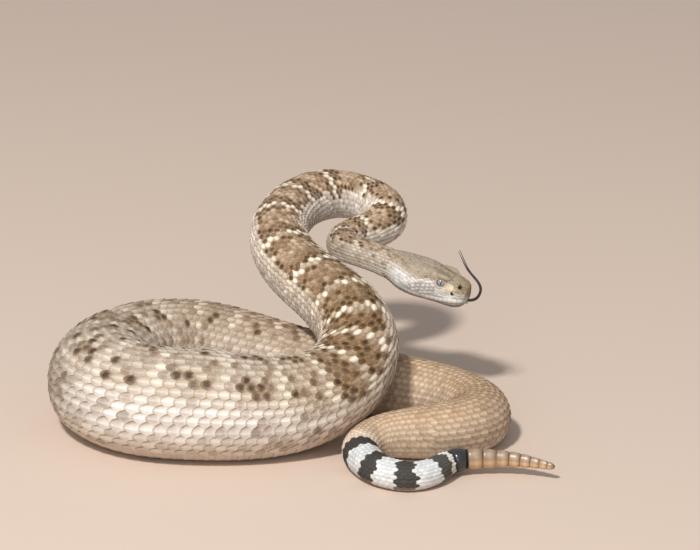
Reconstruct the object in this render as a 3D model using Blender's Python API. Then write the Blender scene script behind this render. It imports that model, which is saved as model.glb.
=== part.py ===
"""A western diamondback rattlesnake, coiled and about to strike, as a still life-size model.

The body is one route from the tip of the rattle to the nape, cut into named lengths. Every length is a
loft of rings along that route, flat under the belly where it lies on the ground. The head is a loft of
its own, parted into skull and lower jaw at the mouth, with the eyes and the tongue as separate pieces.
+X runs from the left-hand loop towards the snout, +Y away from the near side and +Z up.
"""
import math

import bmesh
import bpy
import numpy as np
from mathutils import Matrix, Vector

MM = 0.001
MODEL = "rattlesnake"

# The model's origin is the middle of its footprint, on the ground; the route is laid out from here.
STAND_CENTRE = (-0.48, 58.15)
GAP = 0.3
BELLY_HEIGHT = 0.86
SIDES = 20
RING_STEP = 0.46

# Half the body's thickness and where its middle runs, from the rattle's tip to the nape, in mm.
# A height of None lies on the ground.
ROUTE = [
    # the rattle, held just clear of the ground
    (130.0, -40.0, 7.6, 1.6),
    (108.0, -30.5, 8.2, 4.0),
    (86.0, -30.0, 8.2, 5.4),
    # the banded tail and the bend where it turns back
    (77.5, -31.5, 7.6, 6.0),
    (69.0, -43.0, 6.6, 6.9),
    (57.0, -51.0, None, 7.6),
    (43.0, -45.0, None, 8.1),
    (34.0, -29.0, None, 8.7),
    (32.0, -14.0, None, 9.4),
    (40.0, -3.0, None, 11.0),
    # the rear loop
    (56.0, -2.0, None, 13.2),
    (76.0, -1.0, None, 14.8),
    (90.5, 9.0, None, 15.4),
    (93.0, 28.0, None, 15.6),
    (79.0, 47.0, None, 16.0),
    (58.0, 57.0, None, 17.2),
    # the run along the back and the large left-hand loop
    (34.0, 64.0, None, 18.9),
    (8.0, 71.0, None, 21.8),
    (-22.0, 81.0, None, 25.0),
    (-53.0, 90.5, None, 27.6),
    (-80.0, 84.5, None, 28.8),
    (-97.5, 66.0, None, 29.0),
    (-102.0, 43.0, None, 29.0),
    (-93.0, 21.5, None, 29.0),
    (-76.0, 7.5, None, 29.2),
    (-50.0, 2.0, None, 29.2),
    (-22.0, 3.0, None, 27.4),
    # the turn that climbs over the run behind it, and the raised column
    (3.0, 9.0, 25.6, 25.0),
    (22.0, 18.5, 33.6, 22.4),
    (30.6, 34.0, 46.8, 20.4),
    (26.0, 49.5, 57.2, 19.4),
    (14.8, 65.0, 64.8, 18.2),
    (-0.5, 83.0, 72.0, 16.8),
    # the S of the neck, nearly level
    (-11.5, 106.0, 82.0, 15.2),
    (-8.0, 130.0, 88.5, 14.5),
    (2.0, 148.0, 91.0, 14.2),
    (16.0, 159.5, 91.0, 13.8),
    (31.0, 161.5, 88.6, 12.8),
    (42.5, 155.0, 85.4, 12.2),
    (44.8, 143.0, 81.6, 11.5),
    (36.0, 132.5, 78.2, 10.5),
    (25.0, 124.5, 77.0, 9.2),
    (23.2, 112.5, 76.6, 8.3),
    (33.5, 103.6, 75.0, 7.9),
]

# The head: its nape, and the way that it points.
NAPE = (47.0, 99.0, 71.2)
HEAD_YAW = -20.0
HEAD_PITCH = 17.0
HEAD_LENGTH = 47.2
# The last of the neck turns to face the way of the head over this length.
NAPE_EASE = 10.0

# Lengths of the body: each one's name and where it starts along the route, in mm from the rattle's tip.
RATTLE_LOBES = 8
FIRST_LOBE, LAST_LOBE = 3.9, 7.6
BODY_LENGTHS = [
    ("rattle_base", 46.0),
    ("tail_end", 57.5),
    ("tail_bend", 84.0),
    ("tail_root", 128.0),
    ("rear_loop_near", 170.0),
    ("rear_loop_far", 212.0),
    ("rear_run", 262.0),
    ("back_run", 325.0),
    ("left_loop_back", 390.0),
    ("left_loop_turn", 440.0),
    ("front_run", 490.0),
    ("rising_turn", 552.0),
    ("column_foot", 612.0),
    ("column", 656.0),
    ("arch_rise", 716.0),
    ("arch_top", 768.0),
    ("neck_turn_right", 812.0),
    ("neck_turn_left", 850.0),
    ("neck", 880.0),
]

# The lengths of the tail that don't wear the body's finish.
TAIL_FINISHES = {"rattle_base": "black_base", "tail_end": "tail_bands", "tail_bend": "tail_bands"}

# The finishes: colour, roughness.
FINISHES = {
    "body_scales": ((0.52, 0.43, 0.33), 0.62),
    "tail_bands": ((0.62, 0.61, 0.58), 0.62),
    "black_base": ((0.05, 0.05, 0.055), 0.35),
    "rattle_horn": ((0.58, 0.46, 0.33), 0.42),
    "head_scales": ((0.56, 0.49, 0.40), 0.60),
    "jaw_scales": ((0.70, 0.66, 0.60), 0.58),
    "eye": ((0.30, 0.29, 0.27), 0.12),
    "tongue": ((0.02, 0.02, 0.025), 0.30),
}


# ---------------------------------------------------------------- the route

class Spline:
    """A natural cubic curve through a list of points, spaced by the root of their distance."""

    def __init__(self, points):
        self.v = np.array(points, float)
        steps = np.sqrt(np.linalg.norm(np.diff(self.v[:, :3], axis=0), axis=1))
        self.t = np.concatenate([[0.0], np.cumsum(steps)])
        h = np.diff(self.t)[:, None]
        slope = np.diff(self.v, axis=0) / h
        n = len(self.t)
        system = np.eye(n)
        right = np.zeros_like(self.v)
        for i in range(1, n - 1):
            system[i, i - 1:i + 2] = h[i - 1, 0], 2 * (h[i - 1, 0] + h[i, 0]), h[i, 0]
            right[i] = 6 * (slope[i] - slope[i - 1])
        self.h, self.m = h, np.linalg.solve(system, right)

    def at(self, t):
        i = np.clip(np.searchsorted(self.t, t, side="right") - 1, 0, len(self.t) - 2)
        h = self.h[i]
        a = (self.t[i + 1] - t)[:, None] / h
        b = 1 - a
        bend = ((a**3 - a) * self.m[i] + (b**3 - b) * self.m[i + 1]) * h**2 / 6
        return a * self.v[i] + b * self.v[i + 1] + bend


class Body:
    """The route by length: where its middle is, its half thickness and which way its back faces."""

    def __init__(self):
        laid = [(x, y, BELLY_HEIGHT * r if z is None else z, r) for x, y, z, r in ROUTE]
        facing = head_axes()[0]
        nape = Vector(NAPE)
        laid.append((*nape, 8.2))
        laid.append((*(nape + facing * 12.0), 9.0))
        spline = Spline(laid)
        fine = np.linspace(0, spline.t[-1], 4000)
        self.path = spline.at(fine)
        steps = np.linalg.norm(np.diff(self.path[:, :3], axis=0), axis=1)
        self.s = np.concatenate([[0.0], np.cumsum(steps)])
        self.nape = float(np.interp(spline.t[-2], fine, self.s))

    def at(self, s):
        """Middle, half thickness, and the forward, left and back (dorsal) directions at length s."""
        here = [float(np.interp(s, self.s, self.path[:, k])) for k in range(4)]
        ahead, behind = (
            Vector([float(np.interp(s + d, self.s, self.path[:, k])) for k in range(3)])
            for d in (0.5, -0.5)
        )
        forward = (ahead - behind).normalized()
        near_head = min(max(1.0 - (self.nape - s) / NAPE_EASE, 0.0), 1.0)
        forward = forward.lerp(head_axes()[0], near_head).normalized()
        left = Vector((0, 0, 1)).cross(forward).normalized()
        return Vector(here[:3]), here[3], forward, left, forward.cross(left)


def body_section(angle):
    """A point of the body's outline for a half thickness of one: (to the left, towards the back).
    The angle runs from the spine round to the belly, which is flatter and squarer."""
    across, up = math.sin(angle), math.cos(angle)
    if up >= 0:
        return 1.03 * across, up
    square = 0.8
    return 1.03 * math.copysign(abs(across) ** square, across), -0.9 * abs(up) ** square


def body_ring(body, s, shift=0.0, sides=SIDES):
    """One ring of points round the body at length s, kept above the ground."""
    middle, half, forward, left, back = body.at(s)
    ring = []
    for k in range(sides):
        across, up = body_section(2 * math.pi * k / sides)
        point = middle + forward * shift + left * (half * across) + back * (half * up)
        point.z = max(point.z, 0.0)
        ring.append(point)
    return ring


# ---------------------------------------------------------------- meshes

def on_stand(point):
    """A point of the layout, in metres from the model's origin."""
    return Vector(((point[0] - STAND_CENTRE[0]) * MM, (point[1] - STAND_CENTRE[1]) * MM, point[2] * MM))


def material(name):
    found = bpy.data.materials.get(name)
    if found:
        return found
    colour, roughness = FINISHES[name]
    made = bpy.data.materials.new(name)
    made.use_nodes = True
    shader = made.node_tree.nodes["Principled BSDF"]
    shader.inputs["Base Color"].default_value = (*colour, 1.0)
    shader.inputs["Roughness"].default_value = roughness
    return made


def add_object(collection, name, mesh, finish):
    obj = bpy.data.objects.new(name, mesh)
    collection.objects.link(obj)
    mesh.materials.append(material(finish))
    mesh.shade_smooth()
    mesh.set_sharp_from_angle(angle=math.radians(50))
    return obj


def loft(name, rings):
    """A closed mesh through rings of points, each ring capped at the ends by one flat face."""
    bm = bmesh.new()
    rows = [[bm.verts.new(on_stand(p)) for p in ring] for ring in rings]
    for row, following in zip(rows, rows[1:]):
        for k in range(len(row)):
            j = (k + 1) % len(row)
            bm.faces.new((row[k], row[j], following[j], following[k]))
    bm.faces.new(list(reversed(rows[0])))
    bm.faces.new(rows[-1])
    bmesh.ops.recalc_face_normals(bm, faces=bm.faces)
    bmesh.ops.triangulate(bm, faces=bm.faces)
    mesh = bpy.data.meshes.new(name)
    bm.to_mesh(mesh)
    bm.free()
    return mesh


# ---------------------------------------------------------------- the body's lengths

def ring_places(body, start, end):
    """Where the rings of one length go: closer together where the body is thin."""
    places = [start]
    while places[-1] < end:
        places.append(places[-1] + RING_STEP * body.at(places[-1])[1])
    count = max(2, len(places) - 1)
    return [start + (end - start) * k / count for k in range(count + 1)]


def body_length(body, start, end):
    """Rings of one length of the body, drawn in by half a gap at both ends."""
    places = ring_places(body, start, end)
    rings = [body_ring(body, s) for s in places]
    rings[0] = body_ring(body, start, GAP / 2)
    rings[-1] = body_ring(body, end, -GAP / 2)
    return rings


def add_body(collection, body):
    ends = [start for _, start in BODY_LENGTHS[1:]] + [body.nape]
    for (name, start), end in zip(BODY_LENGTHS, ends):
        finish = TAIL_FINISHES.get(name, "body_scales")
        add_object(collection, name, loft(name, body_length(body, start, end)), finish)


# ---------------------------------------------------------------- the rattle

# A lobe's outline along its length: share of the length, share of its thickness.
LOBE_PROFILE = [(0.0, 0.80), (0.12, 0.93), (0.40, 1.0), (0.75, 0.96), (0.92, 0.90), (1.0, 0.80)]
BUTTON_PROFILE = [(0.0, 0.30), (0.12, 0.60), (0.38, 0.87), (0.66, 0.98), (0.92, 0.92), (1.0, 0.80)]
LOBE_SIDES = 12
LOBE_TALL, LOBE_WIDE = 1.06, 0.86


def lobe_ring(body, s, size):
    middle, half, forward, left, back = body.at(s)
    turns = [2 * math.pi * k / LOBE_SIDES for k in range(LOBE_SIDES)]
    tall, wide = half * size * LOBE_TALL, half * size * LOBE_WIDE
    return [middle + left * (wide * math.sin(a)) + back * (tall * math.cos(a)) for a in turns]


def add_rattle(collection, body):
    """The lobes of the rattle, from the button at its tip to the newest one at the tail."""
    start = 0.0
    step = (LAST_LOBE - FIRST_LOBE) / (RATTLE_LOBES - 1)
    scale = BODY_LENGTHS[0][1] / (RATTLE_LOBES * (FIRST_LOBE + LAST_LOBE) / 2)
    for n in range(RATTLE_LOBES):
        length = (FIRST_LOBE + step * n) * scale
        profile = BUTTON_PROFILE if n == 0 else LOBE_PROFILE
        rings = [lobe_ring(body, start + GAP / 2 + (length - GAP) * share, size)
                 for share, size in profile]
        name = f"rattle_lobe_{n + 1}"
        add_object(collection, name, loft(name, rings), "rattle_horn")
        start += length


# ---------------------------------------------------------------- the head

HEAD_SIDES = 24
HEAD_RINGS = 22
# The head's outline along its length, from the nape to the snout: distance, half width, height of the
# crown, depth of the throat.
HEAD_OUTLINE = [
    (0.0, 8.4, 8.0, 7.4),
    (4.0, 9.8, 8.7, 8.2),
    (9.0, 13.4, 8.7, 9.0),
    (14.0, 15.2, 9.0, 9.4),
    (20.0, 14.6, 9.8, 9.6),
    (26.0, 12.2, 10.0, 9.3),
    (31.5, 10.4, 8.9, 8.9),
    (37.0, 9.4, 8.2, 8.6),
    (42.0, 8.2, 7.9, 7.9),
    (45.0, 6.4, 6.8, 6.2),
    (46.6, 4.6, 5.0, 4.2),
    (47.2, 2.8, 3.4, 2.4),
]
# The line of the mouth, from its corner to the lip under the snout: distance, height.
MOUTH_LINE = [
    (10.0, -4.4), (14.0, -5.4), (20.0, -6.2), (27.0, -6.4), (34.0, -5.8), (42.0, -3.8), (48.5, -2.1),
]
# Swellings and hollows of the head: distance, angle from the crown, spread along and round, height.
HEAD_RELIEF = [
    (33.4, 36.0, 4.2, 9.0, 2.2),
    (39.0, 50.0, 4.5, 10.0, 0.5),
    (32.3, 66.0, 3.2, 9.0, -0.9),
    (18.0, 60.0, 7.0, 14.0, -0.4),
    (24.0, 0.0, 9.0, 16.0, -0.4),
    (38.6, 90.0, 1.9, 8.0, -0.8),
]
EYE_AT = (32.2, 7.35, 4.85)
EYE_RADIUS = 2.45
SOCKET_ROOM = 0.3


def head_axes():
    """The head's forward, left and up directions."""
    turn = Matrix.Rotation(math.radians(HEAD_YAW), 3, "Z") @ Matrix.Rotation(math.radians(HEAD_PITCH), 3, "Y")
    return [turn @ Vector(axis) for axis in ((1, 0, 0), (0, 1, 0), (0, 0, 1))]


def head_point(x, y, z):
    """A point of the head, from its distance along, its left and its height, in the layout's mm."""
    forward, left, up = head_axes()
    return Vector(NAPE) + forward * x + left * y + up * z


def smooth_rows(rows, x):
    """The values of a short outline at x, by a curve with no overshoot through its rows."""
    table = np.array(rows)
    i = int(np.clip(np.searchsorted(table[:, 0], x, side="right") - 1, 0, len(table) - 2))
    slopes = np.gradient(table[:, 1:], table[:, 0], axis=0)
    h = table[i + 1, 0] - table[i, 0]
    t = min(max((x - table[i, 0]) / h, 0.0), 1.0)
    near, far = table[i, 1:], table[i + 1, 1:]
    return ((2 * t**3 - 3 * t**2 + 1) * near + (t**3 - 2 * t**2 + t) * h * slopes[i]
            + (3 * t**2 - 2 * t**3) * far + (t**3 - t**2) * h * slopes[i + 1])


def head_section(x, angle):
    """A point of the head's outline at distance x: (to the left, up). The angle runs from the crown
    round to the throat. The crown is flat and the sides are steep."""
    wide, crown, throat = smooth_rows(HEAD_OUTLINE, x)
    across, up = math.sin(angle), math.cos(angle)
    boxy = 0.84 if up >= 0 else 0.9
    blend = min(x / 9.0, 1.0)
    power = 1.0 + (boxy - 1.0) * blend
    y = wide * math.copysign(abs(across) ** power, across)
    z = (crown if up >= 0 else -throat) * abs(up) ** power
    lift = 1.0
    degrees = math.degrees(abs((angle + math.pi) % (2 * math.pi) - math.pi))
    for at, turn, along, round_, height in HEAD_RELIEF:
        near = ((x - at) / along) ** 2 + ((degrees - turn) / round_) ** 2
        lift += height * math.exp(-near) / math.hypot(y, z)
    return y * lift, z * lift


def head_mesh(name):
    """The whole head as one closed skin, finer towards the snout."""
    rings = []
    for k in range(HEAD_RINGS):
        x = HEAD_LENGTH * (1 - (1 - k / (HEAD_RINGS - 1)) ** 1.35)
        x = max(x, GAP / 2)
        turns = [2 * math.pi * j / HEAD_SIDES for j in range(HEAD_SIDES)]
        rings.append([head_point(x, *head_section(x, a)) for a in turns])
    return loft(name, rings)


def jaw_block(name, down, back):
    """A cutter for everything below the mouth line, lowered and drawn forward by these amounts."""
    line = [(x + (back if k == 0 else 0.0), z - down) for k, (x, z) in enumerate(MOUTH_LINE)]
    deep = -20.0
    line += [(line[-1][0], deep), (line[0][0], deep)]
    bm = bmesh.new()
    edge = [bm.verts.new(on_stand(head_point(x, -20.0, z))) for x, z in line]
    face = bm.faces.new(edge)
    pulled = bmesh.ops.extrude_face_region(bm, geom=[face])
    moved = [v for v in pulled["geom"] if isinstance(v, bmesh.types.BMVert)]
    bmesh.ops.translate(bm, verts=moved, vec=head_axes()[1] * (40.0 * MM))
    bmesh.ops.recalc_face_normals(bm, faces=bm.faces)
    mesh = bpy.data.meshes.new(name)
    bm.to_mesh(mesh)
    bm.free()
    return mesh


def add_cutter(collection, name, mesh):
    obj = bpy.data.objects.new(name, mesh)
    collection.objects.link(obj)
    obj.hide_render = True
    obj.display_type = "WIRE"
    return obj


def ball_mesh(name, centre, radius, segments):
    bm = bmesh.new()
    bmesh.ops.create_uvsphere(bm, u_segments=segments, v_segments=segments // 2, radius=radius * MM)
    bmesh.ops.translate(bm, verts=bm.verts, vec=on_stand(centre))
    mesh = bpy.data.meshes.new(name)
    bm.to_mesh(mesh)
    bm.free()
    return mesh


def cut(obj, cutter, operation="DIFFERENCE"):
    boolean = obj.modifiers.new(cutter.name, "BOOLEAN")
    boolean.operation = operation
    boolean.object = cutter
    boolean.solver = "EXACT"


def add_head(collection, cutters):
    head = add_object(collection, "head", head_mesh("head"), "head_scales")
    jaw = add_object(collection, "lower_jaw", head_mesh("lower_jaw"), "jaw_scales")
    below = add_cutter(cutters, "below_mouth", jaw_block("below_mouth", 0.0, 0.0))
    lower = add_cutter(cutters, "lower_half", jaw_block("lower_half", GAP, GAP))
    cut(head, below)
    cut(jaw, lower, "INTERSECT")
    for side, sign in (("left", 1), ("right", -1)):
        x, y, z = EYE_AT
        centre = head_point(x, y * sign, z)
        socket = ball_mesh(f"socket_{side}", centre, EYE_RADIUS + SOCKET_ROOM, 20)
        cut(head, add_cutter(cutters, f"socket_{side}", socket))
        add_object(collection, f"eye_{side}", ball_mesh(f"eye_{side}", centre, EYE_RADIUS, 14), "eye")


# ---------------------------------------------------------------- the tongue

TONGUE_HALF = 0.85
TINE_HALF = 0.4
# The tongue in the head's own upright plane, from the lips: distance, height.
TONGUE_STEM = [(47.7, -1.7), (49.6, -0.7), (51.4, 1.2), (52.2, 4.2), (51.8, 7.2), (49.6, 9.8), (46.0, 12.0)]
TINE_RISE = [(46.0, 12.0), (42.0, 14.5), (38.2, 18.3), (34.4, 22.4)]
TINE_SPREAD = 1.3


def tongue_curve(name, points, widths):
    """A tapering tube through points of the head, as a curve with filled ends."""
    curve = bpy.data.curves.new(name, "CURVE")
    curve.dimensions = "3D"
    curve.bevel_depth = MM
    curve.bevel_resolution = 2
    curve.use_fill_caps = True
    spline = curve.splines.new("POLY")
    spline.points.add(len(points) - 1)
    for place, point, width in zip(spline.points, points, widths):
        place.co = (*on_stand(head_point(*point)), 1.0)
        place.radius = width
    return curve


def tongue_route(line, side):
    """Points along the tongue, a smooth curve through its line, moving out by side at the far end."""
    spline = Spline([(x, 0.0, z) for x, z in line])
    places = np.linspace(0, spline.t[-1], 2 * len(line))
    share = places / places[-1]
    return [(float(p[0]), side * float(q), float(p[2])) for p, q in zip(spline.at(places), share)]


def solid_of(collection, curve, finish):
    """The curve's tube as a closed mesh with its caps welded on."""
    holder = bpy.data.objects.new(curve.name, curve)
    collection.objects.link(holder)
    bpy.context.view_layer.update()
    mesh = bpy.data.meshes.new_from_object(holder.evaluated_get(bpy.context.evaluated_depsgraph_get()))
    bpy.data.objects.remove(holder)
    bm = bmesh.new()
    bm.from_mesh(mesh)
    bmesh.ops.remove_doubles(bm, verts=bm.verts, dist=0.00001)
    bmesh.ops.recalc_face_normals(bm, faces=bm.faces)
    bm.to_mesh(mesh)
    bm.free()
    mesh.materials.clear()
    return add_object(collection, curve.name, mesh, finish)


def add_tongue(collection):
    stem = tongue_route(TONGUE_STEM, 0.0)
    widths = [TONGUE_HALF * (1.0 - 0.25 * k / (len(stem) - 1)) for k in range(len(stem))]
    solid_of(collection, tongue_curve("tongue", stem, widths), "tongue")
    for side, sign in (("left", 1), ("right", -1)):
        root = sign * (TINE_HALF + GAP / 2)
        tine = [(x, y + root, z) for x, y, z in tongue_route(TINE_RISE, sign * TINE_SPREAD)][1:]
        solid_of(collection, tongue_curve(f"tongue_tine_{side}", tine, [TINE_HALF] * len(tine)), "tongue")


def main():
    for obj in list(bpy.data.objects):
        bpy.data.objects.remove(obj, do_unlink=True)
    collection = bpy.data.collections.new(MODEL)
    cutters = bpy.data.collections.new(f"{MODEL}_cutters")
    for made in (collection, cutters):
        bpy.context.scene.collection.children.link(made)
    body = Body()
    add_rattle(collection, body)
    add_body(collection, body)
    add_head(collection, cutters)
    add_tongue(collection)


main()
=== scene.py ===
"""The looks of a coiled western diamondback rattlesnake, a still life-size model.

One skin covers the flesh from the rattle to the snout. Over it lie the scales: keeled rows along the
back and sides, broad scutes under the belly, and small scales and plates on the head. Each scale is a
solid piece of a joined mesh, laid on the same surface as the skin by its length along the body and its
angle round it. The eyes, the tongue and the lobes of the rattle are pieces of their own.
"""
import math

import bmesh
import bpy
import numpy as np
from mathutils import Matrix, Vector


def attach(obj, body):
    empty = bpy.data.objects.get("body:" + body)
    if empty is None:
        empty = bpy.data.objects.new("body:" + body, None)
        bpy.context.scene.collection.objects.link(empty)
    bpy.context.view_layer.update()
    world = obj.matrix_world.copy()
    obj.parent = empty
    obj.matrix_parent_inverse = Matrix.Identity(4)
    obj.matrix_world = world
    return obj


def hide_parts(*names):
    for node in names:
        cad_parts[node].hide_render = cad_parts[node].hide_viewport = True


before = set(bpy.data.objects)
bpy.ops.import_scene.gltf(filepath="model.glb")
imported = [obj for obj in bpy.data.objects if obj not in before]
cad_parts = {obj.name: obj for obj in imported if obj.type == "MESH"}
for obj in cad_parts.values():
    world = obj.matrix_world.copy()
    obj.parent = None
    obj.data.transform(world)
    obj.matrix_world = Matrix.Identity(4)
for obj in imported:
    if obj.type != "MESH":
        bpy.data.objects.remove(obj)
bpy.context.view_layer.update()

MM = 0.001

# ---------------------------------------------------------------- the body's route, as the solids have it

STAND_CENTRE = (-0.48, 58.15)
BELLY_HEIGHT = 0.86
# Where the body's middle runs and its half thickness, from the rattle's tip to the nape, in mm.
# Where the height is None, the body lies on the ground.
ROUTE = [
    (130.0, -40.0, 7.6, 1.6), (108.0, -30.5, 8.2, 4.0), (86.0, -30.0, 8.2, 5.4),
    (77.5, -31.5, 7.6, 6.0), (69.0, -43.0, 6.6, 6.9), (57.0, -51.0, None, 7.6),
    (43.0, -45.0, None, 8.1), (34.0, -29.0, None, 8.7), (32.0, -14.0, None, 9.4),
    (40.0, -3.0, None, 11.0), (56.0, -2.0, None, 13.2), (76.0, -1.0, None, 14.8),
    (90.5, 9.0, None, 15.4), (93.0, 28.0, None, 15.6), (79.0, 47.0, None, 16.0),
    (58.0, 57.0, None, 17.2), (34.0, 64.0, None, 18.9), (8.0, 71.0, None, 21.8),
    (-22.0, 81.0, None, 25.0), (-53.0, 90.5, None, 27.6), (-80.0, 84.5, None, 28.8),
    (-97.5, 66.0, None, 29.0), (-102.0, 43.0, None, 29.0), (-93.0, 21.5, None, 29.0),
    (-76.0, 7.5, None, 29.2), (-50.0, 2.0, None, 29.2), (-22.0, 3.0, None, 27.4),
    (3.0, 9.0, 25.6, 25.0), (22.0, 18.5, 33.6, 22.4), (30.6, 34.0, 46.8, 20.4),
    (26.0, 49.5, 57.2, 19.4), (14.8, 65.0, 64.8, 18.2), (-0.5, 83.0, 72.0, 16.8),
    (-11.5, 106.0, 82.0, 15.2), (-8.0, 130.0, 88.5, 14.5), (2.0, 148.0, 91.0, 14.2),
    (16.0, 159.5, 91.0, 13.8), (31.0, 161.5, 88.6, 12.8), (42.5, 155.0, 85.4, 12.2),
    (44.8, 143.0, 81.6, 11.5), (36.0, 132.5, 78.2, 10.5), (25.0, 124.5, 77.0, 9.2),
    (23.2, 112.5, 76.6, 8.3), (33.5, 103.6, 75.0, 7.9),
]
NAPE = (47.0, 99.0, 71.2)
NAPE_HALF = 8.2
# One more place inside the head leads the curve straight into it: how far on, and its half thickness.
LEAD_ON, LEAD_HALF = 12.0, 9.0
ROUTE_STEPS, TANGENT_REACH = 4000, 0.5
HEAD_YAW, HEAD_PITCH = -20.0, 17.0
HEAD_LENGTH = 47.2
# Over how much length the body turns into the head's direction, and the snout's end is rounded.
NAPE_EASE = 10.0
SNOUT_ROUND = 0.45
# The body's section: its width over its height, and how square and how deep the belly is.
BODY_WIDE, BELLY_SQUARE, BELLY_DEEP = 1.03, 0.8, 0.9
# How boxy the head's section is above and below, from how far along, and where it takes over in full.
BOXY_ABOVE, BOXY_BELOW, BOXY_FROM, HEAD_FROM = 0.84, 0.9, 9.0, 3.0
# The small steps that measure the surface: round it in radians, along it in mm.
TURN_STEP, LENGTH_STEP = 0.01, 0.1
# The head from the nape to the snout: distance, half width, height of the crown, depth of the throat.
HEAD_OUTLINE = np.array([
    (0.0, 8.4, 8.0, 7.4), (4.0, 9.8, 8.7, 8.2), (9.0, 13.4, 8.7, 9.0), (14.0, 15.2, 9.0, 9.4),
    (20.0, 14.6, 9.8, 9.6), (26.0, 12.2, 10.0, 9.3), (31.5, 10.4, 8.9, 8.9), (37.0, 9.4, 8.2, 8.6),
    (42.0, 8.2, 7.9, 7.9), (45.0, 6.4, 6.8, 6.2), (46.6, 4.6, 5.0, 4.2), (47.2, 2.8, 3.4, 2.4),
])
# Swellings and hollows of the head: distance, angle from the crown, spread along and round, height.
HEAD_RELIEF = [
    (33.4, 36.0, 4.2, 9.0, 2.2), (39.0, 50.0, 4.5, 10.0, 0.5), (32.3, 66.0, 3.2, 9.0, -0.9),
    (18.0, 60.0, 7.0, 14.0, -0.4), (24.0, 0.0, 9.0, 16.0, -0.4), (38.6, 90.0, 1.9, 8.0, -0.8),
]
# The line of the mouth, from its corner to the lip under the snout: distance, height.
MOUTH_LINE = np.array([
    (10.0, -4.4), (14.0, -5.4), (20.0, -6.2), (27.0, -6.4), (34.0, -5.8), (42.0, -3.8), (48.5, -2.1),
])
# Places on the left side of the head, in its own frame.
EYE_AT = (32.2, 7.35, 4.85)
EYE_RADIUS = 2.45
NOSTRIL_AT = (42.3, 5.6, 5.4)
PIT_AT = (39.2, 7.6, 1.3)
# Where the rattle ends and the tail begins, and where the tail's black base ends.
TAIL_START = 46.0
BASE_END = 57.5


def head_axes():
    """The head's forward, left and up directions."""
    turn = Matrix.Rotation(math.radians(HEAD_YAW), 3, "Z") @ Matrix.Rotation(math.radians(HEAD_PITCH), 3, "Y")
    return np.array([turn @ Vector(axis) for axis in ((1, 0, 0), (0, 1, 0), (0, 0, 1))])


def unit(v):
    return v / np.maximum(np.linalg.norm(v, axis=-1, keepdims=True), 1e-9)


def smooth_step(value, low, high):
    t = np.clip((value - low) / (high - low), 0.0, 1.0)
    return t * t * (3 - 2 * t)


def spline_points(points, count):
    """Points along a natural cubic curve, spaced by the root of the distance between its points."""
    v = np.array(points, float)
    t = np.concatenate([[0.0], np.cumsum(np.sqrt(np.linalg.norm(np.diff(v[:, :3], axis=0), axis=1)))])
    h = np.diff(t)[:, None]
    slope = np.diff(v, axis=0) / h
    system, right = np.eye(len(t)), np.zeros_like(v)
    for i in range(1, len(t) - 1):
        system[i, i - 1:i + 2] = h[i - 1, 0], 2 * (h[i - 1, 0] + h[i, 0]), h[i, 0]
        right[i] = 6 * (slope[i] - slope[i - 1])
    m = np.linalg.solve(system, right)
    fine = np.linspace(0, t[-1], count)
    i = np.clip(np.searchsorted(t, fine, side="right") - 1, 0, len(t) - 2)
    a = (t[i + 1] - fine)[:, None] / h[i]
    b = 1 - a
    bend = ((a**3 - a) * m[i] + (b**3 - b) * m[i + 1]) * h[i]**2 / 6
    return fine, a * v[i] + b * v[i + 1] + bend, t


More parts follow.
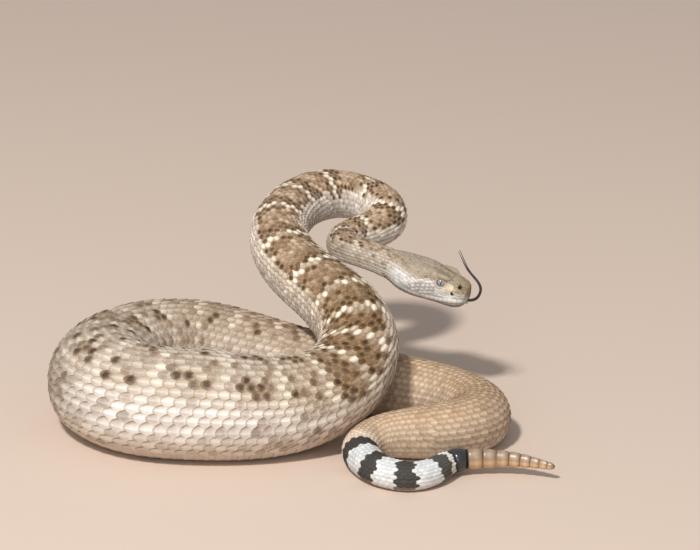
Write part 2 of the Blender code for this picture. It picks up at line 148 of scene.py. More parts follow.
class Shape:
    """The snake's outer surface, by length s from the rattle's tip (mm) and angle from the spine."""

    def __init__(self):
        axes = head_axes()
        laid = [(x, y, BELLY_HEIGHT * r if z is None else z, r) for x, y, z, r in ROUTE]
        laid.append((*NAPE, NAPE_HALF))
        laid.append((*(np.array(NAPE) + axes[0] * LEAD_ON), LEAD_HALF))
        fine, self.path, knots = spline_points(laid, ROUTE_STEPS)
        steps = np.linalg.norm(np.diff(self.path[:, :3], axis=0), axis=1)
        self.s = np.concatenate([[0.0], np.cumsum(steps)])
        self.nape = float(np.interp(knots[-2], fine, self.s))
        self.end = self.nape + HEAD_LENGTH + SNOUT_ROUND
        ahead, behind = (self.middle(self.s + d) for d in (TANGENT_REACH, -TANGENT_REACH))
        forward = unit(ahead - behind)
        near_head = np.clip(1.0 - (self.nape - self.s) / NAPE_EASE, 0.0, 1.0)[:, None]
        forward = unit(forward * (1 - near_head) + axes[0] * near_head)
        left = unit(np.cross((0.0, 0.0, 1.0), forward))
        self.frames = np.concatenate([forward, left, np.cross(forward, left)], axis=1)

    def middle(self, s):
        """The body's middle at each length."""
        return np.stack([np.interp(s, self.s, self.path[:, k]) for k in range(3)], axis=-1)

    def directions(self, s):
        """The forward, left and up directions at each length, one after the other."""
        return np.stack([np.interp(s, self.s, self.frames[:, k]) for k in range(9)], axis=-1)

    def half(self, s):
        """Half the body's thickness at each length; on the head, of a body of the same height."""
        body = np.interp(s, self.s, self.path[:, 3])
        return np.where(s > self.nape, NAPE_HALF, body)

    @staticmethod
    def body_section(angle):
        """A point of the body's section, for a half thickness of one: to the left, and up."""
        across, up = np.sin(angle), np.cos(angle)
        square = np.where(up >= 0, 1.0, BELLY_SQUARE)
        side = BODY_WIDE * np.sign(across) * np.abs(across)**square
        return side, np.where(up >= 0, up, -BELLY_DEEP * np.abs(up)**square)

    @staticmethod
    def head_section(x, angle):
        """A point of the head's section at x from the nape: to the left, and up."""
        rows, slopes = HEAD_OUTLINE, np.gradient(HEAD_OUTLINE[:, 1:], HEAD_OUTLINE[:, 0], axis=0)
        i = np.clip(np.searchsorted(rows[:, 0], x, side="right") - 1, 0, len(rows) - 2)
        h = (rows[i + 1, 0] - rows[i, 0])[..., None]
        t = np.clip((x - rows[i, 0]) / h[..., 0], 0.0, 1.0)[..., None]
        outline = ((2 * t**3 - 3 * t**2 + 1) * rows[i, 1:] + (t**3 - 2 * t**2 + t) * h * slopes[i]
                   + (3 * t**2 - 2 * t**3) * rows[i + 1, 1:] + (t**3 - t**2) * h * slopes[i + 1])
        across, up = np.sin(angle), np.cos(angle)
        boxy = np.where(up >= 0, BOXY_ABOVE, BOXY_BELOW)
        power = 1.0 + (boxy - 1.0) * np.clip(x / BOXY_FROM, 0.0, 1.0)
        y = outline[..., 0] * np.sign(across) * np.abs(across)**power
        z = np.where(up >= 0, outline[..., 1], -outline[..., 2]) * np.abs(up)**power
        degrees = np.degrees(np.abs((angle + np.pi) % (2 * np.pi) - np.pi))
        lift = np.ones_like(y)
        for at, turn, along, round_, height in HEAD_RELIEF:
            near = ((x - at) / along)**2 + ((degrees - turn) / round_)**2
            lift += height * np.exp(-near) / np.hypot(y, z)
        cap = np.sqrt(np.clip(1.0 - (np.maximum(x - HEAD_LENGTH, 0.0) / SNOUT_ROUND)**2, 0.0, 1.0))
        return y * lift * cap, z * lift * cap

    def outline(self, s, angle):
        """Points of the bare outline."""
        s, angle = np.broadcast_arrays(np.asarray(s, float), np.asarray(angle, float))
        at = np.clip(s, 0.0, self.nape)
        x = np.maximum(s - self.nape, 0.0)
        frames = self.directions(at)
        forward, left, back = unit(frames[..., 0:3]), unit(frames[..., 3:6]), unit(frames[..., 6:9])
        half = self.half(s)
        side, up = self.body_section(angle)
        side, up = side * half, up * half
        on_head = x > 0
        if on_head.any():
            head_side, head_up = self.head_section(x[on_head], angle[on_head])
            share = smooth_step(x[on_head], 0.0, HEAD_FROM)
            side[on_head] += (head_side - side[on_head]) * share
            up[on_head] += (head_up - up[on_head]) * share
        points = (self.middle(at) + forward * x[..., None]
                  + left * side[..., None] + back * up[..., None])
        points[..., 2] = np.maximum(points[..., 2], 0.0)
        return points

    def step_round(self, s, angle):
        """A small step of the outline round the body, at each place."""
        return self.outline(s, angle + TURN_STEP) - self.outline(s, angle - TURN_STEP)

    def stretch(self, s, angle):
        """How many mm one radian round the body is, at each place."""
        return np.linalg.norm(self.step_round(s, angle), axis=-1) / (2 * TURN_STEP)

    def normal(self, s, angle):
        """The direction straight out of the outline, at each place."""
        s_in = np.clip(s, LENGTH_STEP, self.end - LENGTH_STEP)
        along = self.outline(s_in + LENGTH_STEP, angle) - self.outline(s_in - LENGTH_STEP, angle)
        return unit(np.cross(along, self.step_round(s, angle)))

    def place(self, s, angle, height):
        """Points at a height over the outline, in metres from the model's origin."""
        points = self.outline(s, angle) + self.normal(s, angle) * np.asarray(height)[..., None]
        points[..., 2] = np.maximum(points[..., 2], 0.0)
        points[..., :2] -= STAND_CENTRE
        return points * MM


SNAKE = Shape()


def head_place(x, y, z):
    """A point of the head's own frame, in metres from the model's origin."""
    point = np.array(NAPE) + np.array([x, y, z]) @ head_axes()
    point[:2] -= STAND_CENTRE
    return point * MM


def head_angle(x, y, z):
    """The angle from the crown of the head's surface nearest to a point of its frame, on the left side."""
    turns = np.radians(np.linspace(1.0, 179.0, 360))
    side, up = SNAKE.head_section(np.full_like(turns, x), turns)
    return float(turns[np.argmin((side - abs(y))**2 + (up - z)**2)])


def mouth_angle(x):
    """The angle of the mouth line, at each distance along the head."""
    grid = np.linspace(8.0, 47.0, 80)
    turns = np.radians(np.linspace(60.0, 170.0, 221))
    found = []
    for at in grid:
        up = SNAKE.head_section(np.full_like(turns, at), turns)[1]
        level = np.interp(at, MOUTH_LINE[:, 0], MOUTH_LINE[:, 1])
        found.append(np.interp(-level, -up, turns))
    return np.interp(x, grid, found)


# How deep the scales are: a least depth and a share of the body's half thickness, and on the head.
COAT_LEAST, COAT_SHARE, HEAD_COAT = 0.25, 0.018, 0.28


def coat_depth(s):
    """How deep the scales are, so how far the skin lies inside the outline."""
    body = COAT_LEAST + COAT_SHARE * SNAKE.half(s)
    return np.where(s > SNAKE.nape + 4.0, HEAD_COAT, body)


# ---------------------------------------------------------------- markings

# The pale cross-bands between the diamonds of the back, by length from the rattle's tip, in mm.
CROSS_BANDS = np.array([
    118.0, 140.0, 162.0, 184.0, 206.0, 228.0, 250.0, 272.0, 296.0, 320.0, 344.0, 366.0, 388.0, 410.0,
    431.0, 454.0, 470.0, 494.0, 520.0, 548.0, 576.0, 600.0, 617.0, 632.0, 647.0, 664.0, 687.0, 716.0,
    741.0, 763.0, 787.0, 812.0, 834.0, 853.0, 870.0, 886.0, 902.0, 925.0,
])
# How far the pattern's middle line is turned from the top of the body, in degrees.
PATTERN_TURN = np.array([
    (40.0, 0.0), (440.0, 0.0), (480.0, -8.0), (560.0, -22.0), (600.0, -36.0), (617.0, -31.0),
    (629.0, -8.0), (645.0, 16.0), (663.0, 20.0), (700.0, 20.0), (718.0, 9.0), (741.0, 0.0),
    (764.0, -9.0), (786.0, -24.0), (814.0, -8.0), (833.0, 28.0), (850.0, 20.0), (880.0, 2.0),
    (960.0, 0.0),
])
# A diamond's half width in degrees, how far its side shifts by chance, and one scale's width.
DIAMOND_HALF, DIAMOND_STRAY, SCALE_ANGLE = 45.0, 7.0, 9.5
# How much the cross-bands slant for each degree from the middle line, and where the slant turns round.
CHEVRON, CHEVRON_TURNS = 0.02, 800.0

# Albedos of the body along its length, with painted light in places: distance, then the colour of the
# back, of the sides. The dark rows near 430 to 470 mm are painted shade on the far inner side of the
# left loop, and the pale sides near 740 to 820 mm are partly painted light on the inner side of the arch.
BACK_TONES = np.array([
    (130.0, 0.56, 0.43, 0.31), (170.0, 0.54, 0.39, 0.26), (270.0, 0.55, 0.41, 0.28),
    (330.0, 0.57, 0.46, 0.36), (430.0, 0.48, 0.40, 0.32), (456.0, 0.43, 0.36, 0.29),
    (484.0, 0.62, 0.54, 0.455), (560.0, 0.66, 0.58, 0.49), (590.0, 0.58, 0.49, 0.39),
    (620.0, 0.40, 0.295, 0.20), (650.0, 0.50, 0.385, 0.265), (690.0, 0.66, 0.545, 0.415),
    (740.0, 0.78, 0.67, 0.55), (800.0, 0.82, 0.70, 0.575), (830.0, 0.64, 0.53, 0.42),
    (860.0, 0.52, 0.43, 0.34), (900.0, 0.47, 0.39, 0.31),
])
SIDE_TONES = np.array([
    (130.0, 0.60, 0.47, 0.35), (170.0, 0.54, 0.41, 0.29), (270.0, 0.60, 0.47, 0.35),
    (330.0, 0.68, 0.57, 0.48), (400.0, 0.48, 0.40, 0.33), (468.0, 0.43, 0.365, 0.30),
    (504.0, 0.79, 0.755, 0.72), (560.0, 0.79, 0.75, 0.705), (600.0, 0.74, 0.67, 0.59),
    (630.0, 0.76, 0.67, 0.58), (700.0, 0.78, 0.70, 0.61), (742.0, 0.90, 0.83, 0.76),
    (765.0, 0.93, 0.89, 0.84), (820.0, 0.86, 0.80, 0.73), (848.0, 0.74, 0.685, 0.62),
    (868.0, 0.52, 0.455, 0.38), (900.0, 0.53, 0.465, 0.395),
])
# How many degrees from the pattern's middle line the sides' colour begins, and is full.
SIDES_FROM = (34.0, 64.0)
# Where round the body the pale lower edge begins: distance, degrees from the top.
EDGE_START = np.array([
    (0.0, 96.0), (600.0, 92.0), (690.0, 96.0), (742.0, 88.0), (766.0, 64.0), (810.0, 62.0),
    (850.0, 92.0),
])
# Over how many degrees the lower edge comes in and how full, and where it turns from cream to white.
EDGE_SOFT, EDGE_SHARE = 28.0, 0.85
WHITE_FROM = (600.0, 740.0)
WHITE_EDGE = (0.90, 0.87, 0.83)
CREAM_EDGE = (0.70, 0.60, 0.50)
DARK_SPOT = (0.036, 0.019, 0.009)
BROWN_SPOT = (0.13, 0.078, 0.042)
FAINT_SPOT = (0.34, 0.25, 0.17)
SPOT_RIM = (0.42, 0.25, 0.11)
PALE_BAND = (0.88, 0.81, 0.68)
DIAMOND = (0.245, 0.160, 0.090)
# How strong the pattern's parts are along the body: distance, diamond, spots, pale band.
PATTERN_SHARE = np.array([
    (136.0, 0.00, 0.00, 0.00), (262.0, 0.10, 0.00, 0.05), (290.0, 0.18, 0.30, 0.15),
    (330.0, 0.24, 0.60, 0.25), (440.0, 0.24, 0.90, 0.20), (590.0, 0.22, 0.90, 0.30),
    (620.0, 0.70, 0.95, 0.72), (650.0, 0.70, 0.95, 0.88), (720.0, 0.60, 0.95, 0.85),
    (840.0, 0.55, 0.85, 0.80), (870.0, 0.40, 0.60, 0.45), (888.0, 0.25, 0.45, 0.25),
    (897.0, 0.20, 0.00, 0.10),
])
# By length: how pale a diamond is, half a pale band's width in scales, how much whole scales vary,
# how much darker their middles are, at least and as a share, and how strong a spot's warm rim is.
DIAMOND_PALE = np.array([(640.0, 1.15), (700.0, 1.6), (760.0, 2.1)])
BAND_HALF = np.array([(650.0, 0.26), (720.0, 0.36)])
TONE_SPREAD = np.array([(300.0, 0.13), (600.0, 0.16), (640.0, 0.30), (840.0, 0.30), (900.0, 0.20)])
MIDDLE_LEAST = np.array([(560.0, 0.04), (620.0, 0.14), (850.0, 0.16), (900.0, 0.10)])
MIDDLE_SHARE = np.array([(130.0, 0.5), (300.0, 1.0), (860.0, 1.0), (900.0, 0.6)])
RIM_WARMTH = np.array([(420.0, 0.50), (600.0, 0.55), (640.0, 0.72), (840.0, 0.60), (900.0, 0.3)])
# How deep the dark corners reach from the cross-band on the head's side, in scales.
CORNER_DEPTH = np.array([(690.0, 1.6), (730.0, 2.3)])
# From here on the diamonds have dark corners, and from there on the neck has brown flecks.
RAISED_FROM, NECK_FLECKS_FROM = 604.0, 845.0
# The tail's rings from its tip: middle, half width, albedo.
TAIL_RINGS = [
    (51.0, 7.0, (0.045, 0.043, 0.042)), (60.0, 2.0, (0.66, 0.62, 0.56)),
    (67.0, 4.2, (0.085, 0.078, 0.07)), (78.0, 5.2, (0.64, 0.65, 0.65)),
    (86.6, 3.7, (0.060, 0.053, 0.048)), (95.0, 4.4, (0.64, 0.65, 0.65)),
    (104.0, 4.2, (0.060, 0.053, 0.048)), (113.8, 5.4, (0.64, 0.65, 0.65)),
    (124.0, 4.2, (0.060, 0.053, 0.048)), (133.0, 4.6, (0.74, 0.62, 0.49)),
]
# Where the rings give way to the body, and up to where they go all the way round.
RINGS_END, FULL_RINGS_END = (134.0, 139.0), 63.0

# What each column of a scale's own luck decides, and the luck itself, a row for each scale.
SHIFT_LUCK, SIDE_LUCK, DARK_LUCK, BROWN_LUCK, DEPTH_LUCK, FLECK_LUCK, TONE_LUCK, MIDDLE_LUCK = range(8)
LUCK = np.random.default_rng(7).random((200000, 8))


def blend(base, colour, share):
    return base + (np.asarray(colour) - base) * np.clip(share, 0.0, 1.0)[:, None]


def by_length(table, s):
    """What a table of rows (length, then one value or more) gives at each length."""
    read = [np.interp(s, table[:, 0], column) for column in table[:, 1:].T]
    return read[0] if len(read) == 1 else np.stack(read, axis=-1)


def between(value, low, high):
    return (value > low) & (value < high)


def spots(s, q, span, off, from_side, chance, share):
    """Which scales carry a spot: dark, brown and faint ones, each as a share of nought or one.
    q is how far a place lies from one cross-band to the next, off its degrees from the pattern's middle
    line, and from_side how many scales it lies inside the diamond's side."""
    row = scale_pitch(s)
    headward, tailward = q * span / row, (1 - q) * span / row
    from_band, from_middle = np.minimum(headward, tailward), np.abs(q - 0.5)
    dark_luck, brown_luck = chance[:, DARK_LUCK], chance[:, BROWN_LUCK]
    raised = s > RAISED_FROM
    # The raised lengths: dark corners on both sides of a band, dark sides, and brown within.
    dark = between(headward, 0.6, by_length(CORNER_DEPTH, s)) & (off < 58.0) & (dark_luck < share)
    dark |= between(tailward, 0.6, 1.5) & (off < 56.0) & (dark_luck < 0.75 * share)
    dark |= between(from_side, -0.2, 0.9) & (from_middle < 0.32) & (dark_luck < 0.75 * share)
    brown = (from_side > 0.3) & (brown_luck < 0.28)
    brown |= between(from_band, 0.6, 2.5) & (from_side > -0.5) & (brown_luck < 0.60)
    brown |= (s > NECK_FLECKS_FROM) & between(off, 20.0, 78.0) & (brown_luck > 0.87)
    low = between(off, 66.0, 92.0) & (brown_luck < 0.16)
    # The lying lengths: a few dark spots by the spine, brown ones on spine and flank, faint ones low.
    corner = (from_middle < 0.26) & between(off, 10.0, 38.0) & (dark_luck < 0.52 * share)
    spine = between(from_band, 0.7, 1.9) & (off < 24.0) & (dark_luck < 0.6 * share)
    flank = (from_middle < 0.17) & between(off, 52.0, 78.0) & (brown_luck < 0.55 * share)
    flank |= (s < 450.0) & between(off, 26.0, 98.0) & (brown_luck > 1.0 - 0.13 * share)
    lower = (from_middle > 0.36) & between(off, 84.0, 100.0) & (brown_luck < 0.35 * share)
    dark = np.where(raised, dark, corner)
    brown = np.where(raised, brown, spine | flank) & ~dark
    faint = np.where(raised, low, lower) & ~dark & ~brown
    return dark * 1.0, brown * 1.0, faint * 1.0


def tail_rings(s, degrees, chance):
    """The colour of the tail's ring nearest to each place, and how far it replaces the body's."""
    wavy = s + 0.7 * np.sin(np.radians(degrees) * 3 + s / 9.0) + (chance[:, SHIFT_LUCK] - 0.5) * 0.7
    middles, reach = np.array([(at, half_width) for at, half_width, _ in TAIL_RINGS]).T
    nearest = np.argmin(np.abs(wavy[:, None] - middles) - reach, axis=1)
    below = 1 - smooth_step(np.abs(degrees), 112.0, 140.0) * 0.8
    fade = np.where(middles[nearest] < FULL_RINGS_END, 1.0, below)
    tone = 1.0 + (chance[:, TONE_LUCK, None] - 0.5) * 0.22
    rings = np.array([colour for _, _, colour in TAIL_RINGS])[nearest] * tone
    return rings, ((1 - smooth_step(wavy, *RINGS_END)) * fade)[:, None]


def body_markings(s, angle, chance):
    """The ground colour of the body at each place, and the colour at the middle of a scale there.
    chance (0 to 1, one column for each choice) is each scale's own luck; the skin under the scales
    passes one half."""
    degrees = np.degrees((angle + np.pi) % (2 * np.pi) - np.pi)
    off = np.abs((degrees - by_length(PATTERN_TURN, s) + 180.0) % 360.0 - 180.0)
    colour = by_length(BACK_TONES, s)
    colour = blend(colour, by_length(SIDE_TONES, s), smooth_step(off, *SIDES_FROM))
    white = smooth_step(s, *WHITE_FROM)[:, None]
    edge = np.array(CREAM_EDGE) + (np.array(WHITE_EDGE) - CREAM_EDGE) * white
    below = smooth_step(np.abs(degrees) - by_length(EDGE_START, s), 0.0, EDGE_SOFT)
    colour = colour + (edge - colour) * (below * EDGE_SHARE)[:, None]

    diamond_share, spot_share, band_share = by_length(PATTERN_SHARE, s).T
    row = scale_pitch(s)
    slanted = s + CHEVRON * off * np.sign(CHEVRON_TURNS - s) + (chance[:, SHIFT_LUCK] - 0.5) * 0.2 * row
    i = np.clip(np.searchsorted(CROSS_BANDS, slanted) - 1, 0, len(CROSS_BANDS) - 2)
    span = CROSS_BANDS[i + 1] - CROSS_BANDS[i]
    q = (slanted - CROSS_BANDS[i]) / span
    from_band = np.minimum(q, 1 - q) * span / row
    half = DIAMOND_HALF * (1.0 - 0.35 * np.abs(2 * q - 1)**2.2)
    from_side = (half + (chance[:, SIDE_LUCK] - 0.5) * DIAMOND_STRAY - off) / SCALE_ANGLE
    inside = smooth_step(np.minimum(from_band - 0.55, from_side), -0.2, 0.5)
    diamond = np.array(DIAMOND) * by_length(DIAMOND_PALE, s)[:, None]
    colour = blend(colour, diamond, inside * diamond_share * 0.85)
    pale = 1 - smooth_step(from_band - by_length(BAND_HALF, s), 0.0, 0.18)
    pale = pale * (1 - smooth_step(off, 48.0, 78.0) * 0.8) * band_share
    colour = blend(colour, PALE_BAND, pale * 0.5)
    vary = (chance[:, TONE_LUCK] - 0.5) * by_length(TONE_SPREAD, s)
    colour = colour * (1.0 + vary[:, None] * np.array((1.0, 1.1, 1.25)))

    dark, brown, faint = spots(s, q, span, off, from_side, chance, spot_share)
    deep = chance[:, DEPTH_LUCK]
    darker = by_length(MIDDLE_LEAST, s) + 0.46 * chance[:, MIDDLE_LUCK]**1.8
    plain = 1.0 - darker * by_length(MIDDLE_SHARE, s)
    centre = colour * (plain[:, None] + (1 - plain)[:, None] * np.array((0.12, 0.0, -0.1)))
    centre = blend(centre, PALE_BAND, pale)
    centre = blend(centre, DARK_SPOT, dark * (0.95 - 0.25 * deep**2))
    centre = blend(centre, BROWN_SPOT, brown * (0.85 - 0.4 * deep))
    centre = blend(centre, FAINT_SPOT, faint * (0.8 - 0.5 * deep))
    colour = blend(colour, SPOT_RIM, np.maximum(dark, 0.6 * brown) * by_length(RIM_WARMTH, s))

    rings, on_tail = tail_rings(s, degrees, chance)
    return [tones + (rings - tones) * on_tail for tones in (colour, centre)]


# The colours of the head's parts.
CROWN, SNOUT_TOP = (0.49, 0.405, 0.315), (0.44, 0.35, 0.215)
# The throat's colour is darkened with painted shade under the jaw.
TEMPLE, THROAT_IN_PAINTED_SHADE = (0.78, 0.77, 0.76), (0.42, 0.35, 0.285)
PALE_STRIPE, DARK_STRIPE, LIP_WHITE = (0.90, 0.85, 0.78), (0.30, 0.23, 0.16), (0.95, 0.92, 0.88)
CHEEK_GROUND, CHEEK_MIDDLE, CROWN_FLECK = (0.50, 0.46, 0.41), (0.70, 0.725, 0.735), (0.20, 0.145, 0.09)
# Where the pale line from the eye begins, its degrees from the crown there, and its fall for each mm.
LINE_FROM, LINE_START, LINE_FALL = 31.0, 64.0, 1.1
# Patches on the head: distance, degrees from the crown, spread along and round, colour and strength.
# They are the plate before the eye, under it, the nape's spots, the crown's middle and its front, the
# front of the lip, and painted shade in and round the nostril.
HEAD_PATCHES = [
    (37.4, 66.0, 2.6, 14.0, (0.74, 0.63, 0.45), 1.4), (33.0, 84.0, 2.4, 6.0, (0.60, 0.50, 0.38), 0.6),
    (3.0, 24.0, 4.0, 9.0, (0.20, 0.14, 0.09), 0.7), (9.5, 33.0, 2.4, 7.0, (0.20, 0.14, 0.09), 0.7),
    (26.0, 20.0, 6.0, 9.0, (0.27, 0.20, 0.14), 0.35), (33.0, 15.0, 5.0, 7.0, (0.24, 0.175, 0.115), 0.75),
    (45.6, 86.0, 2.4, 20.0, (0.64, 0.60, 0.50), 0.75),
    (NOSTRIL_AT[0], math.degrees(head_angle(*NOSTRIL_AT)), 1.5, 13.0, (0.15, 0.12, 0.075), 1.0),
]


def cheek_line(x):
    """The angle from the crown, in degrees, of the pale line from the eye to the corner of the jaw."""
    return LINE_START + (LINE_FROM - x) * LINE_FALL


def on_cheek(x, degrees):
    """Whether the large scales of the cheek and the side of the jaw lie at each place."""
    return between(x, 11.0, 30.2) & (degrees > cheek_line(x) + 5.0) & (degrees < 140.0)


def head_markings(x, angle, chance):
    """The ground colour of the head at each place, and the colour at the middle of a scale there."""
    degrees = np.degrees(np.abs((angle + np.pi) % (2 * np.pi) - np.pi))
    colour = np.tile(np.array(CROWN), (len(x), 1))
    mouth = np.degrees(mouth_angle(x))
    temple = smooth_step(degrees, 46.0 + 10.0 * smooth_step(x, 6.0, 30.0), 74.0)
    colour = blend(colour, TEMPLE, temple * (0.35 + 0.65 * smooth_step(x, -1.0, 10.0)))
    # Painted shade darkens the throat below the mouth.
    colour = blend(colour, THROAT_IN_PAINTED_SHADE, smooth_step(degrees - mouth, 0.0, 11.0) * 0.85)
    snout = smooth_step(x, 37.0, 41.5) * (1 - smooth_step(degrees, 70.0, 92.0))
    colour = blend(colour, SNOUT_TOP, snout * 0.85)
    line = cheek_line(x)
    face = 1 - smooth_step(x, 29.5, 31.0)
    cheek = smooth_step(x, 13.0, 18.0) * face * np.exp(-((degrees - line - 19.0) / 15.0)**4)
    stripe = np.exp(-((degrees - line) / 5.0)**2) * smooth_step(x, 14.0, 18.0) * face
    colour = blend(colour, PALE_STRIPE, stripe)
    dark_line = np.exp(-((degrees - line + 14.0) / 6.5)**2) * smooth_step(x, 12.0, 19.0) * face
    colour = blend(colour, DARK_STRIPE, dark_line * 0.6)
    centre = colour * (0.97 - 0.14 * chance[:, MIDDLE_LUCK, None])
    colour = blend(colour, CHEEK_GROUND, cheek * 0.95)
    centre = blend(centre, CHEEK_MIDDLE, cheek)
    for at, turn, along, round_, tone, depth in HEAD_PATCHES:
        patch = np.exp(-((x - at) / along)**2 - ((degrees - turn) / round_)**2) * depth
        colour, centre = blend(colour, tone, patch), blend(centre, tone, patch)
    lips = smooth_step(x, 12.0, 20.0) * np.exp(-((degrees - mouth + 12.0) / 12.0)**4)
    colour, centre = (blend(tones, LIP_WHITE, lips) for tones in (colour, centre))
    flecked = chance[:, FLECK_LUCK] < 0.20 + 0.14 * smooth_step(x, 24.0, 31.0)
    centre = blend(centre, CROWN_FLECK, flecked * 0.65 * (1 - smooth_step(degrees, 60.0, 90.0) * 0.8))
    tone = 1.0 + (chance[:, TONE_LUCK] - 0.5)[:, None] * np.array((0.20, 0.21, 0.23))
    return colour * tone, centre * tone


def markings(s, angle, chance):
    """The ground colour, and the colour at the middle of a scale, of each place on body and head."""
    x = s - SNAKE.nape
    share = smooth_step(x, -2.0, 3.0)[:, None]
    return [body + (head - body) * share
            for body, head in zip(body_markings(s, angle, chance), head_markings(x, angle, chance))]


def scale_pitch(s):
    """How far apart the rows of scales are along the body, in mm."""
    return 1.55 + 0.12 * SNAKE.half(np.asarray(s, float))


# ---------------------------------------------------------------- meshes and coats

STRIPS = 3
STRIP_LENGTH = (SNAKE.end - TAIL_START) / STRIPS * 1.002


def strip_uv(s, angle, strip=None):
    """The place on the skin's unwrap: its length in three strips, one over the other. Where the strip of
    each place is given, no face is torn at the strips' ends or at the seam of the belly."""
    share = np.clip((s - TAIL_START) / STRIP_LENGTH, 0.0, STRIPS - 0.001)
    turn = (angle + np.pi) / (2 * np.pi)
    if strip is None:
        strip, turn = np.floor(share), turn % 1.0
    return 0.01 + 0.98 * (share - strip), (strip + 0.02 + 0.96 * turn) / STRIPS


def linked(name, data):
    """A new object in the scene."""
    made = bpy.data.objects.new(name, data)
    bpy.context.scene.collection.objects.link(made)
    return made


def finished_mesh(holder):
    """The mesh that an object's modifiers or curve come to. The object itself is removed."""
    bpy.context.view_layer.update()
    mesh = bpy.data.meshes.new_from_object(holder.evaluated_get(bpy.context.evaluated_depsgraph_get()))
    bpy.data.objects.remove(holder)
    return mesh


def grid_mesh(name, rows, columns, size=1.0):
    bm = bmesh.new()
    bmesh.ops.create_grid(bm, x_segments=rows, y_segments=columns, size=size)
    mesh = bpy.data.meshes.new(name)
    bm.to_mesh(mesh)
    bm.free()
    return mesh


def close_up(mesh, join=None, fill=False):
    """Joins points nearer than join, fills open ends, turns the faces outwards and shades them smooth."""
    bm = bmesh.new()
    bm.from_mesh(mesh)
    if join is not None:
        bmesh.ops.remove_doubles(bm, verts=bm.verts, dist=join)
    if fill:
        bmesh.ops.holes_fill(bm, edges=[e for e in bm.edges if e.is_boundary], sides=0)
    bmesh.ops.recalc_face_normals(bm, faces=bm.faces)
    bm.to_mesh(mesh)
    bm.free()
    mesh.shade_smooth()


def finish_piece(name, mesh, finish, slot, *nodes):
    """Makes a mesh a piece of the model, in its finish and in place of the solids that it covers."""
    piece = linked(name, mesh)
    mesh.materials.clear()
    mesh.materials.append(finish)
    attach(piece, "root")
    if nodes:
        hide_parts(*nodes)


def set_points(mesh, points):
    mesh.vertices.foreach_set("co", points.astype(np.float32).ravel())


def set_colours(mesh, colours, name="markings"):
    """Stores a colour for each point of a mesh."""
    layer = mesh.color_attributes.new(name, "FLOAT_COLOR", "POINT")
    rgba = np.ones((len(mesh.vertices), 4), np.float32)
    rgba[:, :3] = np.clip(colours, 0.0, 1.0)
    layer.data.foreach_set("color", rgba.ravel())


def set_values(mesh, name, values):
    """Stores a number, or a vector, for each point of a mesh."""
    values = np.asarray(values, np.float32)
    kind, key = ("FLOAT", "value") if values.ndim == 1 else ("FLOAT_VECTOR", "vector")
    layer = mesh.attributes.new(name, kind, "POINT")
    layer.data.foreach_set(key, values.ravel())


# How much narrower a scale is underneath.
UNDERCUT = 0.9


def scale_shape(name, outline, across, dome, thickness):
    """One scale as a closed shape: x from its root to its tip (0 to 1), y across (-1 to 1) and z its
    height. outline holds its rows: how far along each is and how wide."""
    bm = bmesh.new()
    bmesh.ops.create_grid(bm, x_segments=len(outline) - 1, y_segments=across, size=1.0)
    for v in bm.verts:
        along, wide = outline[round((v.co.x + 1) / 2 * (len(outline) - 1))]
        v.co = (along, v.co.y * wide, dome * (1 - v.co.y**2))
    rim = [e for e in bm.edges if e.is_boundary]
    dropped = bmesh.ops.extrude_edge_only(bm, edges=rim)["geom"]
    for v in dropped:
        if isinstance(v, bmesh.types.BMVert):
            v.co.z -= thickness
            v.co.y *= UNDERCUT
    under = [e for e in dropped if isinstance(e, bmesh.types.BMEdge) and e.is_boundary]
    bmesh.ops.contextual_create(bm, geom=under)
    bmesh.ops.recalc_face_normals(bm, faces=bm.faces)
    mesh = bpy.data.meshes.new(name)
    bm.to_mesh(mesh)
    bm.free()
    return mesh


def copies_of(shape, count):
    """One mesh of many copies of a shape, by an array."""
    holder = linked(shape.name, shape)
    array = holder.modifiers.new("copies", "ARRAY")
    array.fit_type = "FIXED_COUNT"
    array.count = count
    array.use_relative_offset = False
    array.use_constant_offset = True
    array.constant_offset_displace = (0.0, 0.0, 1.0)
    return finished_mesh(holder)


def shape_points(shape):
    points = np.empty(len(shape.vertices) * 3)
    shape.vertices.foreach_get("co", points)
    return points.reshape(-1, 3)


def face_corners(mesh):
    """The point at each corner of each face, face by face."""
    corners = np.empty(len(mesh.loops), np.int64)
    mesh.loops.foreach_get("vertex_index", corners)
    return corners


def set_unwrap(mesh, places):
    """Stores where each corner of each face lies on the unwrap."""
    layer = mesh.uv_layers.new(name="OFBake")
    layer.data.foreach_set("uv", places.astype(np.float32).ravel())


# How far along a scale its tip's rim begins.
RIM_FROM = 0.72


def rim_share(points):
    """Nought in the middle of a scale and one at its rim and wall, for each point of its shape."""
    along, across = points[:, 0], np.abs(points[:, 1])
    in_row = np.abs(along[:, None] - along[None, :]) < 1e-4
    reach = np.max(np.where(in_row, across[None, :], 0.0), axis=1)
    at_tip = np.clip((along - RIM_FROM) / (1.0 - RIM_FROM), 0, 1)
    near = np.maximum(across / np.maximum(reach, 1e-6), at_tip)
    return np.where(points[:, 2] < WALL_TOP, 1.0, near)


# How far under a scale's rim its wall begins, how dark the walls' painted shade is, and how bright a keel
# crest's painted highlight is.
WALL_TOP, WALL_PAINTED_SHADE, KEEL_PAINTED_HIGHLIGHT = -0.02, 0.38, 0.30
# How near to a scale's middle line its keel's crest lies, and how fast the keel rises from the root.
CREST_HALF, KEEL_CLIMB = 0.05, 1.6
# How much a slant lifts a scale's edge, and how far towards its tip its colour is read.
SLANT_LIFT, TONE_PLACE = 0.3, 0.15
# How much of the skin's unwrap one scale takes, and from which bend on an edge is sharp, in degrees.
UNWRAP_PATCH, SHARP_BEND = 0.003, 58


